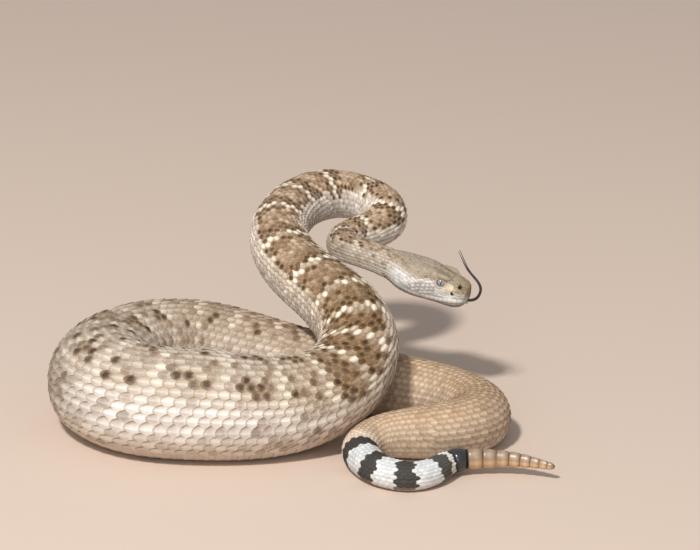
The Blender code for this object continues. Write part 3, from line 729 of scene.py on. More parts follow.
def lay_coat(name, shape, scales, finish, slot, mapped=None):
    """Lays a copy of the shape at each scale's place and gives it its colours.
    scales is a dict of arrays: s, angle (the middle), length, width, turn, root, tip (heights), rise,
    seed (the row of each scale's own luck) and, where they are wanted, keel (its height, which also sets
    the painted highlight on its crest), wall (the painted shade of its walls), rim (how strong its darker
    rim is, partly painted shade at its edges), slant (how much its upper edge is lifted and darkened with
    painted shade), flare (how much its lower edge rises), span (the radians it covers, in place of width
    and turn) and tint (a share and a colour). mapped gives the places instead, from the shape's points."""
    count = len(scales["s"])
    points = shape_points(shape)
    mesh = copies_of(shape, count)
    mesh.name = name
    flat = {key: np.asarray(value, float) for key, value in scales.items()}
    tint = flat.pop("tint", None)
    col = {key: value[:, None] for key, value in flat.items()}
    none = np.zeros((count, 1))
    u, v, w = (points[:, k][None, :] for k in range(3))
    along = (u - 0.5) * col["length"]
    if mapped:
        s, angle = mapped(u, v, col)
    elif "span" in col:
        s, angle = col["s"] - along, col["angle"] + v * col["span"] / 2
    else:
        across = v * col["width"] / 2
        sin, cos = np.sin(col["turn"]), np.cos(col["turn"])
        s = col["s"] - along * cos - across * sin
        stretch = SNAKE.stretch(flat["s"], flat["angle"])[:, None]
        angle = col["angle"] + (across * cos - along * sin) / stretch
    wall = points[:, 2] < WALL_TOP
    crest = (np.abs(points[:, 1]) < CREST_HALF) & ~wall
    keel = col.get("keel", none)
    slant = -col.get("slant", none) * np.sign(col["angle"]) * v
    height = col["root"] + (col["tip"] - col["root"]) * u + w * col["rise"]
    height = height + keel * crest * np.minimum(KEEL_CLIMB * u, 1.0)
    height = height + col.get("flare", none) * np.maximum(v * np.sign(col["angle"]), 0.0)**2
    height = height + SLANT_LIFT * slant * col["rise"] * u
    s = np.clip(s, 0.2, SNAKE.end - 0.02)
    set_points(mesh, SNAKE.place(s, angle, height))

    luck = LUCK[np.asarray(scales["seed"], int) % len(LUCK)]
    tones = markings(flat["s"] - TONE_PLACE * flat["length"], flat["angle"], luck)
    # Painted shade darkens each scale's walls, and a painted highlight lightens its keel's crest.
    shade = np.where(wall, col.get("wall", WALL_PAINTED_SHADE), 1.0)
    shade = shade + KEEL_PAINTED_HIGHLIGHT * crest * np.minimum(4.0 * keel, 1.0)
    for label, tone in zip(("markings", "centre_tone"), tones):
        if tint is not None:
            tone = tone + (tint[:, 1:] - tone) * tint[:, :1]
        set_colours(mesh, (tone[:, None, :] * shade[:, :, None]).reshape(-1, 3), label)
    set_values(mesh, "within", np.tile(points, (count, 1)))
    # The rim's darkening, partly painted shade at the scale's edges, is stronger on its lifted upper edge.
    edge = rim_share(points) * (1.0 + slant) * col.get("rim", 1.0)
    set_values(mesh, "edge", np.clip(edge, 0.0, 1.25).ravel())

    root_u, root_v = strip_uv(flat["s"], flat["angle"])
    places = np.stack([root_u[:, None] + UNWRAP_PATCH * (u - 0.5),
                       root_v[:, None] + UNWRAP_PATCH * v * 0.5], axis=-1)
    set_unwrap(mesh, places.reshape(-1, 2)[face_corners(mesh)])
    mesh.shade_smooth()
    mesh.set_sharp_from_angle(angle=math.radians(SHARP_BEND))
    finish_piece(name, mesh, finish, slot)


# ---------------------------------------------------------------- finishes

def new_group(name, inputs, outputs):
    group = bpy.data.node_groups.new(name, "ShaderNodeTree")
    for label, kind, value in inputs:
        socket = group.interface.new_socket(label, in_out="INPUT", socket_type=f"NodeSocket{kind}")
        if value is not None:
            socket.default_value = value
    for label, kind in outputs:
        group.interface.new_socket(label, in_out="OUTPUT", socket_type=f"NodeSocket{kind}")
    return group, group.nodes.new("NodeGroupInput"), group.nodes.new("NodeGroupOutput")


def feed(tree, value, socket):
    """Links a socket to an output, or gives it a plain value."""
    if isinstance(value, bpy.types.NodeSocket):
        tree.links.new(value, socket)
    else:
        socket.default_value = value


def set_inputs(node, values):
    for label, value in values.items():
        node.inputs[label].default_value = value


def maths(tree, operation, first, second=0.0, clamp=False):
    node = tree.nodes.new("ShaderNodeMath")
    node.operation = operation
    node.use_clamp = clamp
    for socket, value in zip(node.inputs, (first, second)):
        feed(tree, value, socket)
    return node.outputs[0]


def mixed(tree, share, first, second):
    """One colour turning into another."""
    node = tree.nodes.new("ShaderNodeMix")
    node.data_type = "RGBA"
    for label, value in (("Factor", share), ("A", first), ("B", second)):
        feed(tree, value, node.inputs[label])
    return node.outputs["Result"]


def parts_of(tree, vector):
    """The X, Y and Z of a vector."""
    node = tree.nodes.new("ShaderNodeSeparateXYZ")
    tree.links.new(vector, node.inputs[0])
    return node.outputs


def noise(tree, vector, scale, detail, roughness=0.5):
    node = tree.nodes.new("ShaderNodeTexNoise")
    for label, value in (("Vector", vector), ("Scale", scale), ("Detail", detail), ("Roughness", roughness)):
        feed(tree, value, node.inputs[label])
    return node.outputs["Fac"]


def two_colours(tree, share, first, second, start=0.0, end=1.0):
    """A ramp from one colour to another."""
    node = tree.nodes.new("ShaderNodeValToRGB")
    for stop, place, colour in zip(node.color_ramp.elements, (start, end), (first, second)):
        stop.position = place
        stop.color = (*colour, 1.0)
    tree.links.new(share, node.inputs["Fac"])
    return node.outputs["Color"]


def horn_grain_group():
    """Fine mottling and pitting of dry horny scales."""
    group, given, out = new_group(
        "horn_grain", [("Vector", "Vector", None), ("Coarse", "Float", 400.0), ("Fine", "Float", 2600.0)],
        [("Mottle", "Float"), ("Height", "Float")])
    where = given.outputs["Vector"]
    coarse, fine = (noise(group, where, given.outputs[label], detail)
                    for label, detail in (("Coarse", 2.0), ("Fine", 3.0)))
    mottle = maths(group, "ADD", maths(group, "MULTIPLY", coarse, 0.6), maths(group, "MULTIPLY", fine, 0.4))
    group.links.new(mottle, out.inputs["Mottle"])
    group.links.new(fine, out.inputs["Height"])
    return group


# How much a scale's rim takes from red, green and blue.
RIM_TAKES = (0.82, 1.0, 1.16)


def rim_tone_group():
    """Deepens and warms the colour at a scale's rim, partly its own darker rim and partly painted shade at
    its edges, and lets the mottling through.
    """
    group, given, out = new_group(
        "rim_tone", [("Colour", "Color", (0.5, 0.5, 0.5, 1.0)), ("Edge", "Float", 0.0),
                     ("Mottle", "Float", 0.5), ("Depth", "Float", 0.25), ("Contrast", "Float", 0.4)],
        [("Colour", "Color"), ("Roughness", "Float")])
    mottle = given.outputs["Mottle"]
    rim = maths(group, "MULTIPLY", maths(group, "POWER", given.outputs["Edge"], 2.5), given.outputs["Depth"])
    vary = maths(group, "MULTIPLY", maths(group, "SUBTRACT", mottle, 0.5), given.outputs["Contrast"])
    warm = group.nodes.new("ShaderNodeCombineXYZ")
    for channel, share in zip("XYZ", RIM_TAKES):
        shade = maths(group, "ADD", maths(group, "SUBTRACT", 1.0, maths(group, "MULTIPLY", rim, share)), vary)
        group.links.new(shade, warm.inputs[channel])
    scaled = group.nodes.new("ShaderNodeVectorMath")
    scaled.operation = "MULTIPLY"
    group.links.new(given.outputs["Colour"], scaled.inputs[0])
    group.links.new(warm.outputs[0], scaled.inputs[1])
    group.links.new(scaled.outputs[0], out.inputs["Colour"])
    rough = maths(group, "ADD", 0.5, maths(group, "MULTIPLY", mottle, 0.3), clamp=True)
    group.links.new(rough, out.inputs["Roughness"])
    return group


# The soft oval of a scale's open part: its middle along the scale, its reach along and across, how much
# noise frays it, how far out it ends and how sharply.
OVAL_AT, OVAL_LONG, OVAL_WIDE = 0.70, 0.28, 0.80
OVAL_FRAY, OVAL_END, OVAL_SHARP = 1.6, 2.10, 0.85


def centre_tone_group():
    """Turns a scale's ground colour into its centre colour inside a soft oval of its open part."""
    group, given, out = new_group(
        "centre_tone", [("Ground", "Color", (0.5, 0.5, 0.5, 1.0)), ("Centre", "Color", (0.5, 0.5, 0.5, 1.0)),
                        ("Within", "Vector", None), ("Noise", "Float", 0.5)],
        [("Colour", "Color")])
    place = parts_of(group, given.outputs["Within"])
    along = maths(group, "DIVIDE", maths(group, "SUBTRACT", place["X"], OVAL_AT), OVAL_LONG)
    across = maths(group, "DIVIDE", place["Y"], OVAL_WIDE)
    far = maths(group, "MULTIPLY", given.outputs["Noise"], OVAL_FRAY)
    for part in (along, across):
        far = maths(group, "ADD", maths(group, "MULTIPLY", part, part), far)
    share = maths(group, "MULTIPLY", maths(group, "SUBTRACT", OVAL_END, far), OVAL_SHARP, clamp=True)
    colour = mixed(group, share, given.outputs["Ground"], given.outputs["Centre"])
    group.links.new(colour, out.inputs["Colour"])
    return group


HORN_GRAIN = horn_grain_group()
CENTRE_TONE = centre_tone_group()
RIM_TONE = rim_tone_group()


def new_finish(name):
    made = bpy.data.materials.new(name)
    made.use_nodes = True
    return made, made.node_tree, made.node_tree.nodes["Principled BSDF"]


def place_group(tree, group, **values):
    node = tree.nodes.new("ShaderNodeGroup")
    node.node_tree = group
    set_inputs(node, values)
    return node


def place_grain(tree, coarse, fine):
    """Horn grain by the place on the model."""
    grain = place_group(tree, HORN_GRAIN, Coarse=coarse, Fine=fine)
    tree.links.new(tree.nodes.new("ShaderNodeTexCoord").outputs["Object"], grain.inputs["Vector"])
    return grain.outputs


def add_relief(tree, shader, height, strength, distance):
    relief = tree.nodes.new("ShaderNodeBump")
    set_inputs(relief, {"Strength": strength, "Distance": distance})
    tree.links.new(height, relief.inputs["Height"])
    tree.links.new(relief.outputs["Normal"], shader.inputs["Normal"])


def attribute(tree, name, kind="Color"):
    node = tree.nodes.new("ShaderNodeAttribute")
    node.attribute_name = name
    return node.outputs[kind]


# What the rim_tone group gives as roughness where the mottling is even.
EVEN_ROUGHNESS = 0.65


def toned_finish(name, coarse, fine, rim, contrast, roughness, relief_of, bump, spotted=False):
    """A finish coloured by its markings, with grain, a darker rim and a little relief."""
    made, tree, shader = new_finish(name)
    grain = place_grain(tree, coarse, fine)
    toned = place_group(tree, RIM_TONE, Depth=rim, Contrast=contrast)
    colour = attribute(tree, "markings")
    if spotted:
        centred = place_group(tree, CENTRE_TONE)
        tree.links.new(colour, centred.inputs["Ground"])
        tree.links.new(attribute(tree, "centre_tone"), centred.inputs["Centre"])
        tree.links.new(attribute(tree, "within", "Vector"), centred.inputs["Within"])
        tree.links.new(grain["Mottle"], centred.inputs["Noise"])
        colour = centred.outputs["Colour"]
    tree.links.new(colour, toned.inputs["Colour"])
    tree.links.new(attribute(tree, "edge", "Fac"), toned.inputs["Edge"])
    tree.links.new(grain["Mottle"], toned.inputs["Mottle"])
    tree.links.new(toned.outputs["Colour"], shader.inputs["Base Color"])
    rough = maths(tree, "MULTIPLY", toned.outputs["Roughness"], roughness / EVEN_ROUGHNESS, clamp=True)
    tree.links.new(rough, shader.inputs["Roughness"])
    add_relief(tree, shader, grain[relief_of], bump, 0.0003)
    return made, shader


def scale_finish(name, roughness, rim, contrast, bump, coat=0.0, spotted=True, gloss=0.3):
    """Scales, dry or smooth, with the colour of their own markings."""
    made, shader = toned_finish(name, 420.0, 2600.0, rim, contrast, roughness, "Height", bump, spotted)
    set_inputs(shader, {"Specular IOR Level": 0.16, "Coat Weight": coat, "Coat Roughness": gloss})
    return made


# The eye's slit: half its height and width in eye radii, and where the dark rim round the iris begins.
SLIT_TALL, SLIT_WIDE, IRIS_RIM = 0.58, 0.15, 0.86


def eye_finish():
    """A grey-bronze iris with an upright slit, dark round the rim, under a wet clear surface."""
    made, tree, shader = new_finish("wet_eye")
    gaze = attribute(tree, "gaze", "Vector")
    place = parts_of(tree, gaze)
    fore, up = place["X"], place["Y"]
    tall, wide = (maths(tree, "POWER", maths(tree, "DIVIDE", maths(tree, "ABSOLUTE", part), half), 2.0)
                  for part, half in ((up, SLIT_TALL), (fore, SLIT_WIDE)))
    pupil = maths(tree, "SUBTRACT", 1.25, maths(tree, "ADD", tall, wide))
    pupil = maths(tree, "MULTIPLY", pupil, 2.5, clamp=True)
    round_ = maths(tree, "POWER", maths(tree, "ADD", maths(tree, "MULTIPLY", fore, fore),
                                        maths(tree, "MULTIPLY", up, up)), 0.5)
    rim = maths(tree, "MULTIPLY", maths(tree, "SUBTRACT", round_, IRIS_RIM), 9.0, clamp=True)
    iris = two_colours(tree, noise(tree, gaze, 9.0, 4.0, 0.7),
                       (0.22, 0.215, 0.21), (0.43, 0.43, 0.425), 0.3, 0.7)
    dark = maths(tree, "MAXIMUM", pupil, rim)
    tree.links.new(mixed(tree, dark, iris, (0.030, 0.026, 0.024, 1.0)), shader.inputs["Base Color"])
    set_inputs(shader, {"Roughness": 0.18, "Coat Weight": 0.7, "Coat Roughness": 0.08})
    return made


def horn_finish():
    """The rattle's dry horn: brown to tan, polished, with painted shade darkening its seams."""
    made, shader = toned_finish("rattle_horn", 260.0, 1500.0, 0.45, 0.5, 0.40, "Mottle", 0.3)
    set_inputs(shader, {"Coat Weight": 0.75, "Coat Roughness": 0.32, "Subsurface Weight": 0.08,
                        "Subsurface Radius": (0.002, 0.001, 0.0006)})
    return made


def tongue_finish():
    """Nearly black, finely mottled and moist."""
    made, tree, shader = new_finish("moist_tongue")
    grain = place_grain(tree, 900.0, 4000.0)
    colour = two_colours(tree, grain["Mottle"], (0.012, 0.010, 0.012), (0.045, 0.036, 0.042))
    tree.links.new(colour, shader.inputs["Base Color"])
    add_relief(tree, shader, grain["Height"], 0.2, 0.0002)
    set_inputs(shader, {"Roughness": 0.3, "Coat Weight": 0.5})
    return made


# For each finish: its roughness, how deep the rims are (partly painted shade at the edges), the mottling's
# contrast, and the relief.
DRY_SCALES = scale_finish("dry_keeled_scales", 0.66, 0.50, 0.40, 0.35)
BELLY_SCUTES = scale_finish("smooth_belly_scutes", 0.46, 0.35, 0.18, 0.15, coat=0.15)
HEAD_SCALES = scale_finish("fine_head_scales", 0.60, 0.36, 0.50, 0.35)
LIP_PLATES = scale_finish("smooth_lip_plates", 0.45, 0.12, 0.15, 0.12, coat=0.12)
SKIN = scale_finish("skin_between_scales", 0.75, 0.0, 0.3, 0.3, spotted=False)
BLACK_BASE = scale_finish("black_tail_base", 0.30, 0.0, 0.3, 0.02, coat=1.0, spotted=False, gloss=0.16)


# ---------------------------------------------------------------- the skin

SKIN_SIDES = 128
# How far apart the skin's rings are, and where they lie on the snout's rounded end.
BODY_RING, HEAD_RING = 2.0, 0.35
SNOUT_RINGS = np.array((0.0, 0.45, 0.75, 0.92, 1.0))
# How dark the painted shade in the gaps makes the skin under the scales of the body and of the head.
SKIN_PAINTED_SHADE, HEAD_SKIN_PAINTED_SHADE = 0.36, 0.66
# Near which angle a column of the skin follows the mouth, and over how many radians it pulls others.
MOUTH_COLUMN_NEAR, MOUTH_PULL = math.radians(121.0), math.radians(24.0)
# Where the mouth begins, how deep its line and the columns beside it are sunk, and how dark the painted shade
# in the line is.
MOUTH_FROM, MOUTH_SUNK, BESIDE_SUNK, MOUTH_PAINTED_SHADE = (9.5, 13.0), 0.75, 0.25, 0.88
# The hollows of each side of the face: place, direction outwards, radius, and depth where they are pits.
FACE_FROM = 20.0
FACE_HOLLOWS = [
    (EYE_AT, (0.10, 0.95, 0.30), EYE_RADIUS + 0.2, None), (PIT_AT, (0.45, 0.88, 0.10), 1.30, 2.1),
    (NOSTRIL_AT, (0.25, 0.75, 0.60), 1.15, 1.5),
]
# Painted shade in the nostril and in the pit: place, radius, and how dark.
PAINTED_SHADE_HOLLOWS = [(NOSTRIL_AT, 1.25, 0.75), (PIT_AT, 1.35, 0.9)]


def skin_columns(x):
    """The angles of the skin's columns at each distance along the head: closer on the sides of the face,
    with one column of each side along the mouth."""
    even = np.linspace(-np.pi, np.pi, SKIN_SIDES + 1)
    grid = np.linspace(0, np.pi, 400)
    density = 0.62 + 1.0 * smooth_step(grid, 0.6, 0.95) * (1 - smooth_step(grid, 2.0, 2.4))
    run = np.concatenate([[0.0], np.cumsum((density[1:] + density[:-1]) / 2)])
    packed = np.sign(even) * np.interp(np.abs(even) / np.pi, run / run[-1], grid)
    share = smooth_step(x, -6.0, 8.0)[:, None]
    angle = even + (packed - even) * share
    column = int(np.argmin(np.abs(packed - MOUTH_COLUMN_NEAR)))
    at = packed[column]
    pull = (mouth_angle(x) - at)[:, None] * smooth_step(x, 4.0, 10.0)[:, None]
    for sign in (1, -1):
        near = np.exp(-((angle * sign - at) / MOUTH_PULL)**2) * (angle * sign > 0)
        angle = angle + sign * near * pull
    return angle, column


def sink_into(points, centre, gaze, radius, depth=None):
    """Sinks the points within a radius of a centre into a bowl, against gaze; all in metres. Without a
    depth, the bowl is half a ball round the centre."""
    away = points - centre
    out = away @ gaze
    beside = away - out[:, None] * gaze
    far = np.linalg.norm(beside, axis=1)
    near = (np.linalg.norm(away, axis=1) < radius * 1.35) & (far < radius)
    bowl = np.sqrt(np.maximum(radius**2 - far**2, 0.0))
    if depth is None:
        sunk = centre + beside - bowl[:, None] * gaze
    else:
        sunk = points - gaze * (depth * bowl / radius)[:, None]
    points[near] = sunk[near]


def face_direction(x, y, z):
    """A direction of the head's own frame, in the model's."""
    return unit(np.array([x, y, z]) @ head_axes())


def left_and_right(place):
    """Each side's sign, and the place on that side of the head."""
    return [(sign, head_place(place[0], sign * place[1], place[2])) for sign in (1, -1)]


def sink_face(points, x, angle):
    """Sinks the sockets of the eyes, the pits and the nostrils into the skin's points."""
    for place, gaze, radius, depth in FACE_HOLLOWS:
        for sign, centre in left_and_right(place):
            side = (x > FACE_FROM) & (angle * sign > 0)
            part = points[side]
            sink_into(part, centre, face_direction(gaze[0], sign * gaze[1], gaze[2]), radius * MM,
                      None if depth is None else depth * MM)
            points[side] = part


def add_skin():
    """The skin, in rings from the tail to the snout, sunk by the scales' depth."""
    body_count = int((SNAKE.nape - TAIL_START) / BODY_RING)
    rings = np.concatenate([
        np.linspace(TAIL_START + 0.15, SNAKE.nape, body_count, endpoint=False),
        np.linspace(SNAKE.nape, SNAKE.nape + HEAD_LENGTH - 0.2, int(HEAD_LENGTH / HEAD_RING)),
        SNAKE.nape + HEAD_LENGTH + SNOUT_ROUND * SNOUT_RINGS])
    angles, column = skin_columns(rings - SNAKE.nape)
    mesh = grid_mesh("snake_skin", len(rings) - 1, SKIN_SIDES)
    flat = shape_points(mesh)
    i = np.rint((flat[:, 0] + 1) / 2 * (len(rings) - 1)).astype(int)
    j = np.rint((flat[:, 1] + 1) / 2 * SKIN_SIDES).astype(int)
    s, angle = rings[i], angles[i, j]
    x = s - SNAKE.nape
    from_lips = np.minimum(np.abs(j - column), np.abs(j - (SKIN_SIDES - column)))
    in_mouth = smooth_step(x, *MOUTH_FROM)
    crease = np.select([from_lips == 0, from_lips == 1], [MOUTH_SUNK, BESIDE_SUNK], 0.0) * in_mouth
    points = SNAKE.place(s, angle, -coat_depth(s) - crease)
    sink_face(points, x, angle)
    set_points(mesh, points)

    colour = markings(s, angle, np.full((len(s), LUCK.shape[1]), 0.5))[0]
    # Painted shade darkens the skin in the gaps between the scales, less on the head.
    shade = SKIN_PAINTED_SHADE + (HEAD_SKIN_PAINTED_SHADE - SKIN_PAINTED_SHADE) * smooth_step(x, -3.0, 1.0)
    # Painted shade darkens the crease of the mouth.
    shade = shade * np.where(from_lips == 0, 1 - MOUTH_PAINTED_SHADE * in_mouth, 1.0)
    # Painted shade darkens the inside of each nostril and pit.
    for where, room, depth in PAINTED_SHADE_HOLLOWS:
        for _, centre in left_and_right(where):
            far = np.linalg.norm(points - centre, axis=1)
            shade *= 1 - depth * (1 - smooth_step(far, 0.8 * room * MM, 1.25 * room * MM))
    set_colours(mesh, colour * shade[:, None])
    set_values(mesh, "edge", np.zeros(len(s)))

    corners = face_corners(mesh)
    face_starts = s[corners.reshape(-1, 4)].min(axis=1)
    strip = np.repeat(np.floor((face_starts - TAIL_START) / STRIP_LENGTH), 4)
    set_unwrap(mesh, np.stack(strip_uv(s[corners], angle[corners], strip), axis=-1))
    close_up(mesh, join=1e-7, fill=True)
    flesh = [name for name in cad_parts
             if not name.startswith(("eye_", "tongue", "rattle_lobe"))]
    finish_piece("snake_skin", mesh, SKIN, "body_scales", *flesh)


# ---------------------------------------------------------------- the body's scales

# The rows of each kind of scale: how far along, and how wide.
KEELED = [(0.0, 0.50), (0.22, 0.80), (0.46, 1.0), (0.68, 0.93), (0.87, 0.62), (1.0, 0.20)]
SMALL = [(0.0, 0.62), (0.22, 0.88), (0.48, 1.0), (0.72, 0.96), (0.89, 0.74), (1.0, 0.36)]
SCUTE = [(0.0, 0.98), (0.55, 1.0), (0.88, 1.0), (1.0, 0.985)]
# How many degrees from the spine the keeled scales reach on each side.
BACK_SPAN = 128.0
# How many rows of scales go round the back and sides: from this length on.
ROW_COUNTS = [(0, 17), (128, 19), (178, 21), (222, 23), (285, 25), (335, 27), (690, 25), (780, 23), (850, 21)]
COAT_PARTS = [
    ("tail_scales", BASE_END, 128.0), ("rear_loop_scales", 128.0, 262.0), ("back_run_scales", 262.0, 385.0),
    ("left_loop_scales", 385.0, 480.0), ("front_run_scales", 480.0, 575.0), ("column_scales", 575.0, 690.0),
    ("arch_scales", 690.0, 800.0), ("neck_scales", 800.0, 2000.0),
]
# How broad and long a back scale is over its share of the girth and over the rows' distance.
SCALE_BROAD, SCALE_LONG = 1.44, 1.78
# How much narrower the scales are low on the sides of the column and the arch, and from where to where.
SIDE_NARROWER, NARROWER_FROM, NARROWER_TO = 0.22, (560.0, 620.0), 745.0
# How much the scales low on the left loop and the front run lift their upper edges and darken them with
# painted shade, and where.
SIDE_SLANT, SLANT_FROM, SLANT_UNTIL, SLANT_TURN = 0.40, (400.0, 450.0), (600.0, 660.0), (48.0, 74.0)
# How strong the scales' darker rims, partly painted shade at their edges, are by length, and from which
# degrees on the keels fade out.
RIM_STRENGTH = np.array([(132.0, 0.55), (138.0, 0.95), (300.0, 0.90), (600.0, 1.0)])
KEEL_FADES = (84.0, 112.0)
# How deep in their coat the scales' roots are, as a share of its depth.
ROOT_DEPTH = -0.98
# How light the painted shade on the walls of the back's scales is by length.
WALL_TONES = np.array([(700.0, WALL_PAINTED_SHADE), (730.0, 0.65), (775.0, 0.65), (800.0, WALL_PAINTED_SHADE),
                       (SNAKE.nape - 12, WALL_PAINTED_SHADE), (SNAKE.nape - 4, 0.8)])
# Where each coat's rows of luck begin.
SCUTE_LUCK, SMALL_LUCK, LIP_LUCK, PLATE_LUCK = 50000, 70000, 80000, 90000


def row_places(start, end):
    """Where the rows of scales lie along the body."""
    places = [start]
    while places[-1] < end:
        places.append(places[-1] + float(scale_pitch(places[-1])))
    return np.array(places[:-1])


def back_scale_places():
    """Where the back's scales lie, with every other one half a row on, and how many go round there."""
    s_all, angle_all, count_all = [], [], []
    jitter = np.random.default_rng(11)
    for at in row_places(BASE_END + 1.5, SNAKE.nape + 1.0):
        count = [n for start, n in ROW_COUNTS if at >= start][-1]
        column = np.arange(count) - (count - 1) // 2
        shift = np.where(column % 2 == 0, 0.0, 0.5) * float(scale_pitch(at))
        s_all.append(at + shift + jitter.normal(0, 0.06, count))
        angle_all.append(np.radians(column * 2 * BACK_SPAN / count + jitter.normal(0, 0.25, count)))
        count_all.append(np.full(count, count))
    return [np.concatenate(found) for found in (s_all, angle_all, count_all)]


def add_back_scales():
    """The keeled scales of the back and sides, one coat for each length of the body."""
    shape = scale_shape("keeled_scale", KEELED, 6, 0.20, 0.36)
    s, angle, count = back_scale_places()
    jitter = np.random.default_rng(5).normal(0, 1, (len(s), 2))
    round_, depth = np.degrees(np.abs(angle)), coat_depth(s)
    low = smooth_step(round_, 40.0, 70.0) * smooth_step(s, *NARROWER_FROM) * (s < NARROWER_TO)
    broad = SCALE_BROAD - SIDE_NARROWER * low
    width = broad * np.radians(2 * BACK_SPAN) / count * SNAKE.stretch(s, angle) * (1 + 0.03 * jitter[:, 0])
    slant = SIDE_SLANT * smooth_step(s, *SLANT_FROM) * (1 - smooth_step(s, *SLANT_UNTIL))
    scales = {"s": s, "angle": angle, "length": SCALE_LONG * scale_pitch(s), "width": width,
              "turn": 0.03 * jitter[:, 1], "root": ROOT_DEPTH * depth, "tip": 0.02 * depth, "rise": depth,
              "keel": (0.08 + 0.30 * depth) * (1 - smooth_step(round_, *KEEL_FADES)),
              "slant": slant * smooth_step(round_, *SLANT_TURN), "rim": by_length(RIM_STRENGTH, s),
              "wall": by_length(WALL_TONES, s), "seed": np.arange(len(s))}
    for name, start, end in COAT_PARTS:
        own = (s >= start) & (s < end)
        lay_coat(name, shape, {key: values[own] for key, values in scales.items()}, DRY_SCALES,
                 "tail_bands" if name == "tail_scales" else "body_scales")


def add_scutes():
    """The broad scutes of the belly, each from one side's keeled scales to the other's."""
    shape = scale_shape("belly_scute", SCUTE, 16, 0.12, 0.30)
    s = row_places(BASE_END + 1.5, SNAKE.nape - 2.0)
    depth, ones = coat_depth(s), np.ones(len(s))
    scales = {"s": s, "angle": np.pi * ones, "length": 1.6 * scale_pitch(s),
              "span": np.radians(360.0 - 2 * BACK_SPAN + 9.0) * ones, "root": ROOT_DEPTH * depth,
              "tip": -0.30 * depth, "rise": depth, "seed": SCUTE_LUCK + np.arange(len(s))}
    lay_coat("belly_scutes", shape, scales, BELLY_SCUTES, "body_scales")


# ---------------------------------------------------------------- the head's scales and plates

PLATE = [(0.0, 0.50), (0.07, 0.80), (0.30, 0.99), (0.70, 0.99), (0.93, 0.80), (1.0, 0.50)]
# Where the lips' plates begin and end, how many there are, their gap at the mouth, and how tall they are.
LIP_FRONT, LIP_BACK = 45.6, 11.0
LIP_PLATES_EACH = 15
LIP_GAP = 0.46
UPPER_LIP, LOWER_LIP = 2.9, 1.7
# The plate over the eye: distance, degrees from the crown, length and width; and how its edge flares.
SUPRAOCULAR = (32.4, 33.0, 8.2, 5.2)
BROW_FLARE = 1.0
# The face keeps small scales this far from the eye, the nostril, the pit and the plate before the eye.
FACE_ROOM = [(EYE_AT, EYE_RADIUS + 0.75), (NOSTRIL_AT, 1.75), (PIT_AT, 1.65), ((37.6, 7.9, 4.4), 2.6)]
# Where the rows of small scales begin and end along the head.
SMALL_FROM, SMALL_TO = -1.6, 46.2


def arc_grid(x):
    """Angles round half of the head at x, and how far round each is in mm."""
    turns = np.linspace(0.0, np.pi, 361)
    side, up = SNAKE.head_section(np.full_like(turns, x), turns)
    run = np.concatenate([[0.0], np.cumsum(np.hypot(np.diff(side), np.diff(up)))])
    return turns, run


def lip_height(x, tall):
    """How tall a lip's plates are at x: lower towards both ends."""
    return tall * (0.72 + 0.28 * smooth_step(x, 10.0, 18.0)) * (1 - 0.25 * smooth_step(x, 38.0, 46.0))


def clear_of_face(x, angle):
    """Whether a small scale may stand at each place: clear of the eye, the pits and the larger plates."""
    side, up = SNAKE.head_section(x, np.abs(angle))
    clear = np.ones(len(x), bool)
    for (at, y, z), room in FACE_ROOM:
        clear &= (x - at)**2 + (side - y)**2 + (up - z)**2 > room**2
    at, turn, length, width = SUPRAOCULAR
    stretch = SNAKE.stretch(SNAKE.nape + x, angle)
    off = (np.abs(angle) - math.radians(turn)) * stretch
    clear &= ((x - at) / (length / 2))**2 + (off / (width / 2 + 0.1))**2 > 1.0
    return clear


# How far apart the small scales are: distance, then along and round; the fine ones, and the cheek's.
FINE_GRAIN = np.array([(0, 2.1, 1.9), (8, 1.8, 1.9), (16, 1.6, 1.75), (30, 1.35, 1.5), (46, 1.15, 1.25)])
CHEEK_GRAIN = np.array([(0, 2.5, 2.5), (14, 2.4, 2.45), (31, 2.1, 2.15), (46, 2.0, 2.0)])


def small_scale_field(grain):
    """Rows of small scales over the head, up to the lips on both sides: places and sizes."""
    found = []
    x, row = SMALL_FROM, 0
    while x < SMALL_TO:
        pitch, gap = by_length(grain, x)
        turns, run = arc_grid(x)
        at_lips = float(np.interp(float(mouth_angle(np.array([x]))[0]), turns, run))
        if x < LIP_BACK + 0.5:
            spans = [(0.0, run[-1])]
        else:
            low = at_lips + LIP_GAP + float(lip_height(x, LOWER_LIP))
            high = at_lips - LIP_GAP - float(lip_height(x, UPPER_LIP))
            spans = [(0.0, high - gap * 0.28), (low + gap * 0.28, run[-1])]
        for number, (first, last) in enumerate(spans):
            step = gap * (1.15 if number else 1.0)
            places = np.arange(first + (0.5 * step if row % 2 else 0.0), last, step)
            if number:
                places = last - (places - first)
                places = places[places > first]
            for place in places:
                turn = float(np.interp(place, run, turns))
                for sign in ((1, -1) if 0.01 < turn < np.pi - 0.01 else (1,)):
                    found.append((x, sign * turn, pitch, step))
        x += pitch
        row += 1
    found = np.array(found)
    return found[clear_of_face(found[:, 0], found[:, 1])]


def add_small_head_scales():
    """The small scales of the head: fine ones, and larger ones on the cheeks."""
    shape = scale_shape("small_scale", SMALL, 4, 0.36, 0.42)
    fine, large = small_scale_field(FINE_GRAIN), small_scale_field(CHEEK_GRAIN)
    fine = fine[~on_cheek(fine[:, 0], np.degrees(np.abs(fine[:, 1])))]
    large = large[on_cheek(large[:, 0], np.degrees(np.abs(large[:, 1])))]
    x, angle, along, across = np.concatenate([fine, large]).T
    jitter = np.random.default_rng(3).normal(0, 1, (len(x), 4))
    size, ones = 1.0 + 0.06 * jitter[:, 1], np.ones(len(x))
    scales = {"s": SNAKE.nape + (x + 0.10 * jitter[:, 0]), "angle": angle + 0.008 * jitter[:, 3],
              "length": along * 1.5 * size, "width": across * 1.06 * size, "turn": 0.10 * jitter[:, 2],
              "root": -0.36 * ones, "tip": -0.06 * ones, "rise": 0.24 + 0.06 * along, "wall": 0.72 * ones,
              "seed": SMALL_LUCK + np.arange(len(x))}
    lay_coat("small_head_scales", shape, scales, HEAD_SCALES, "head_scales")


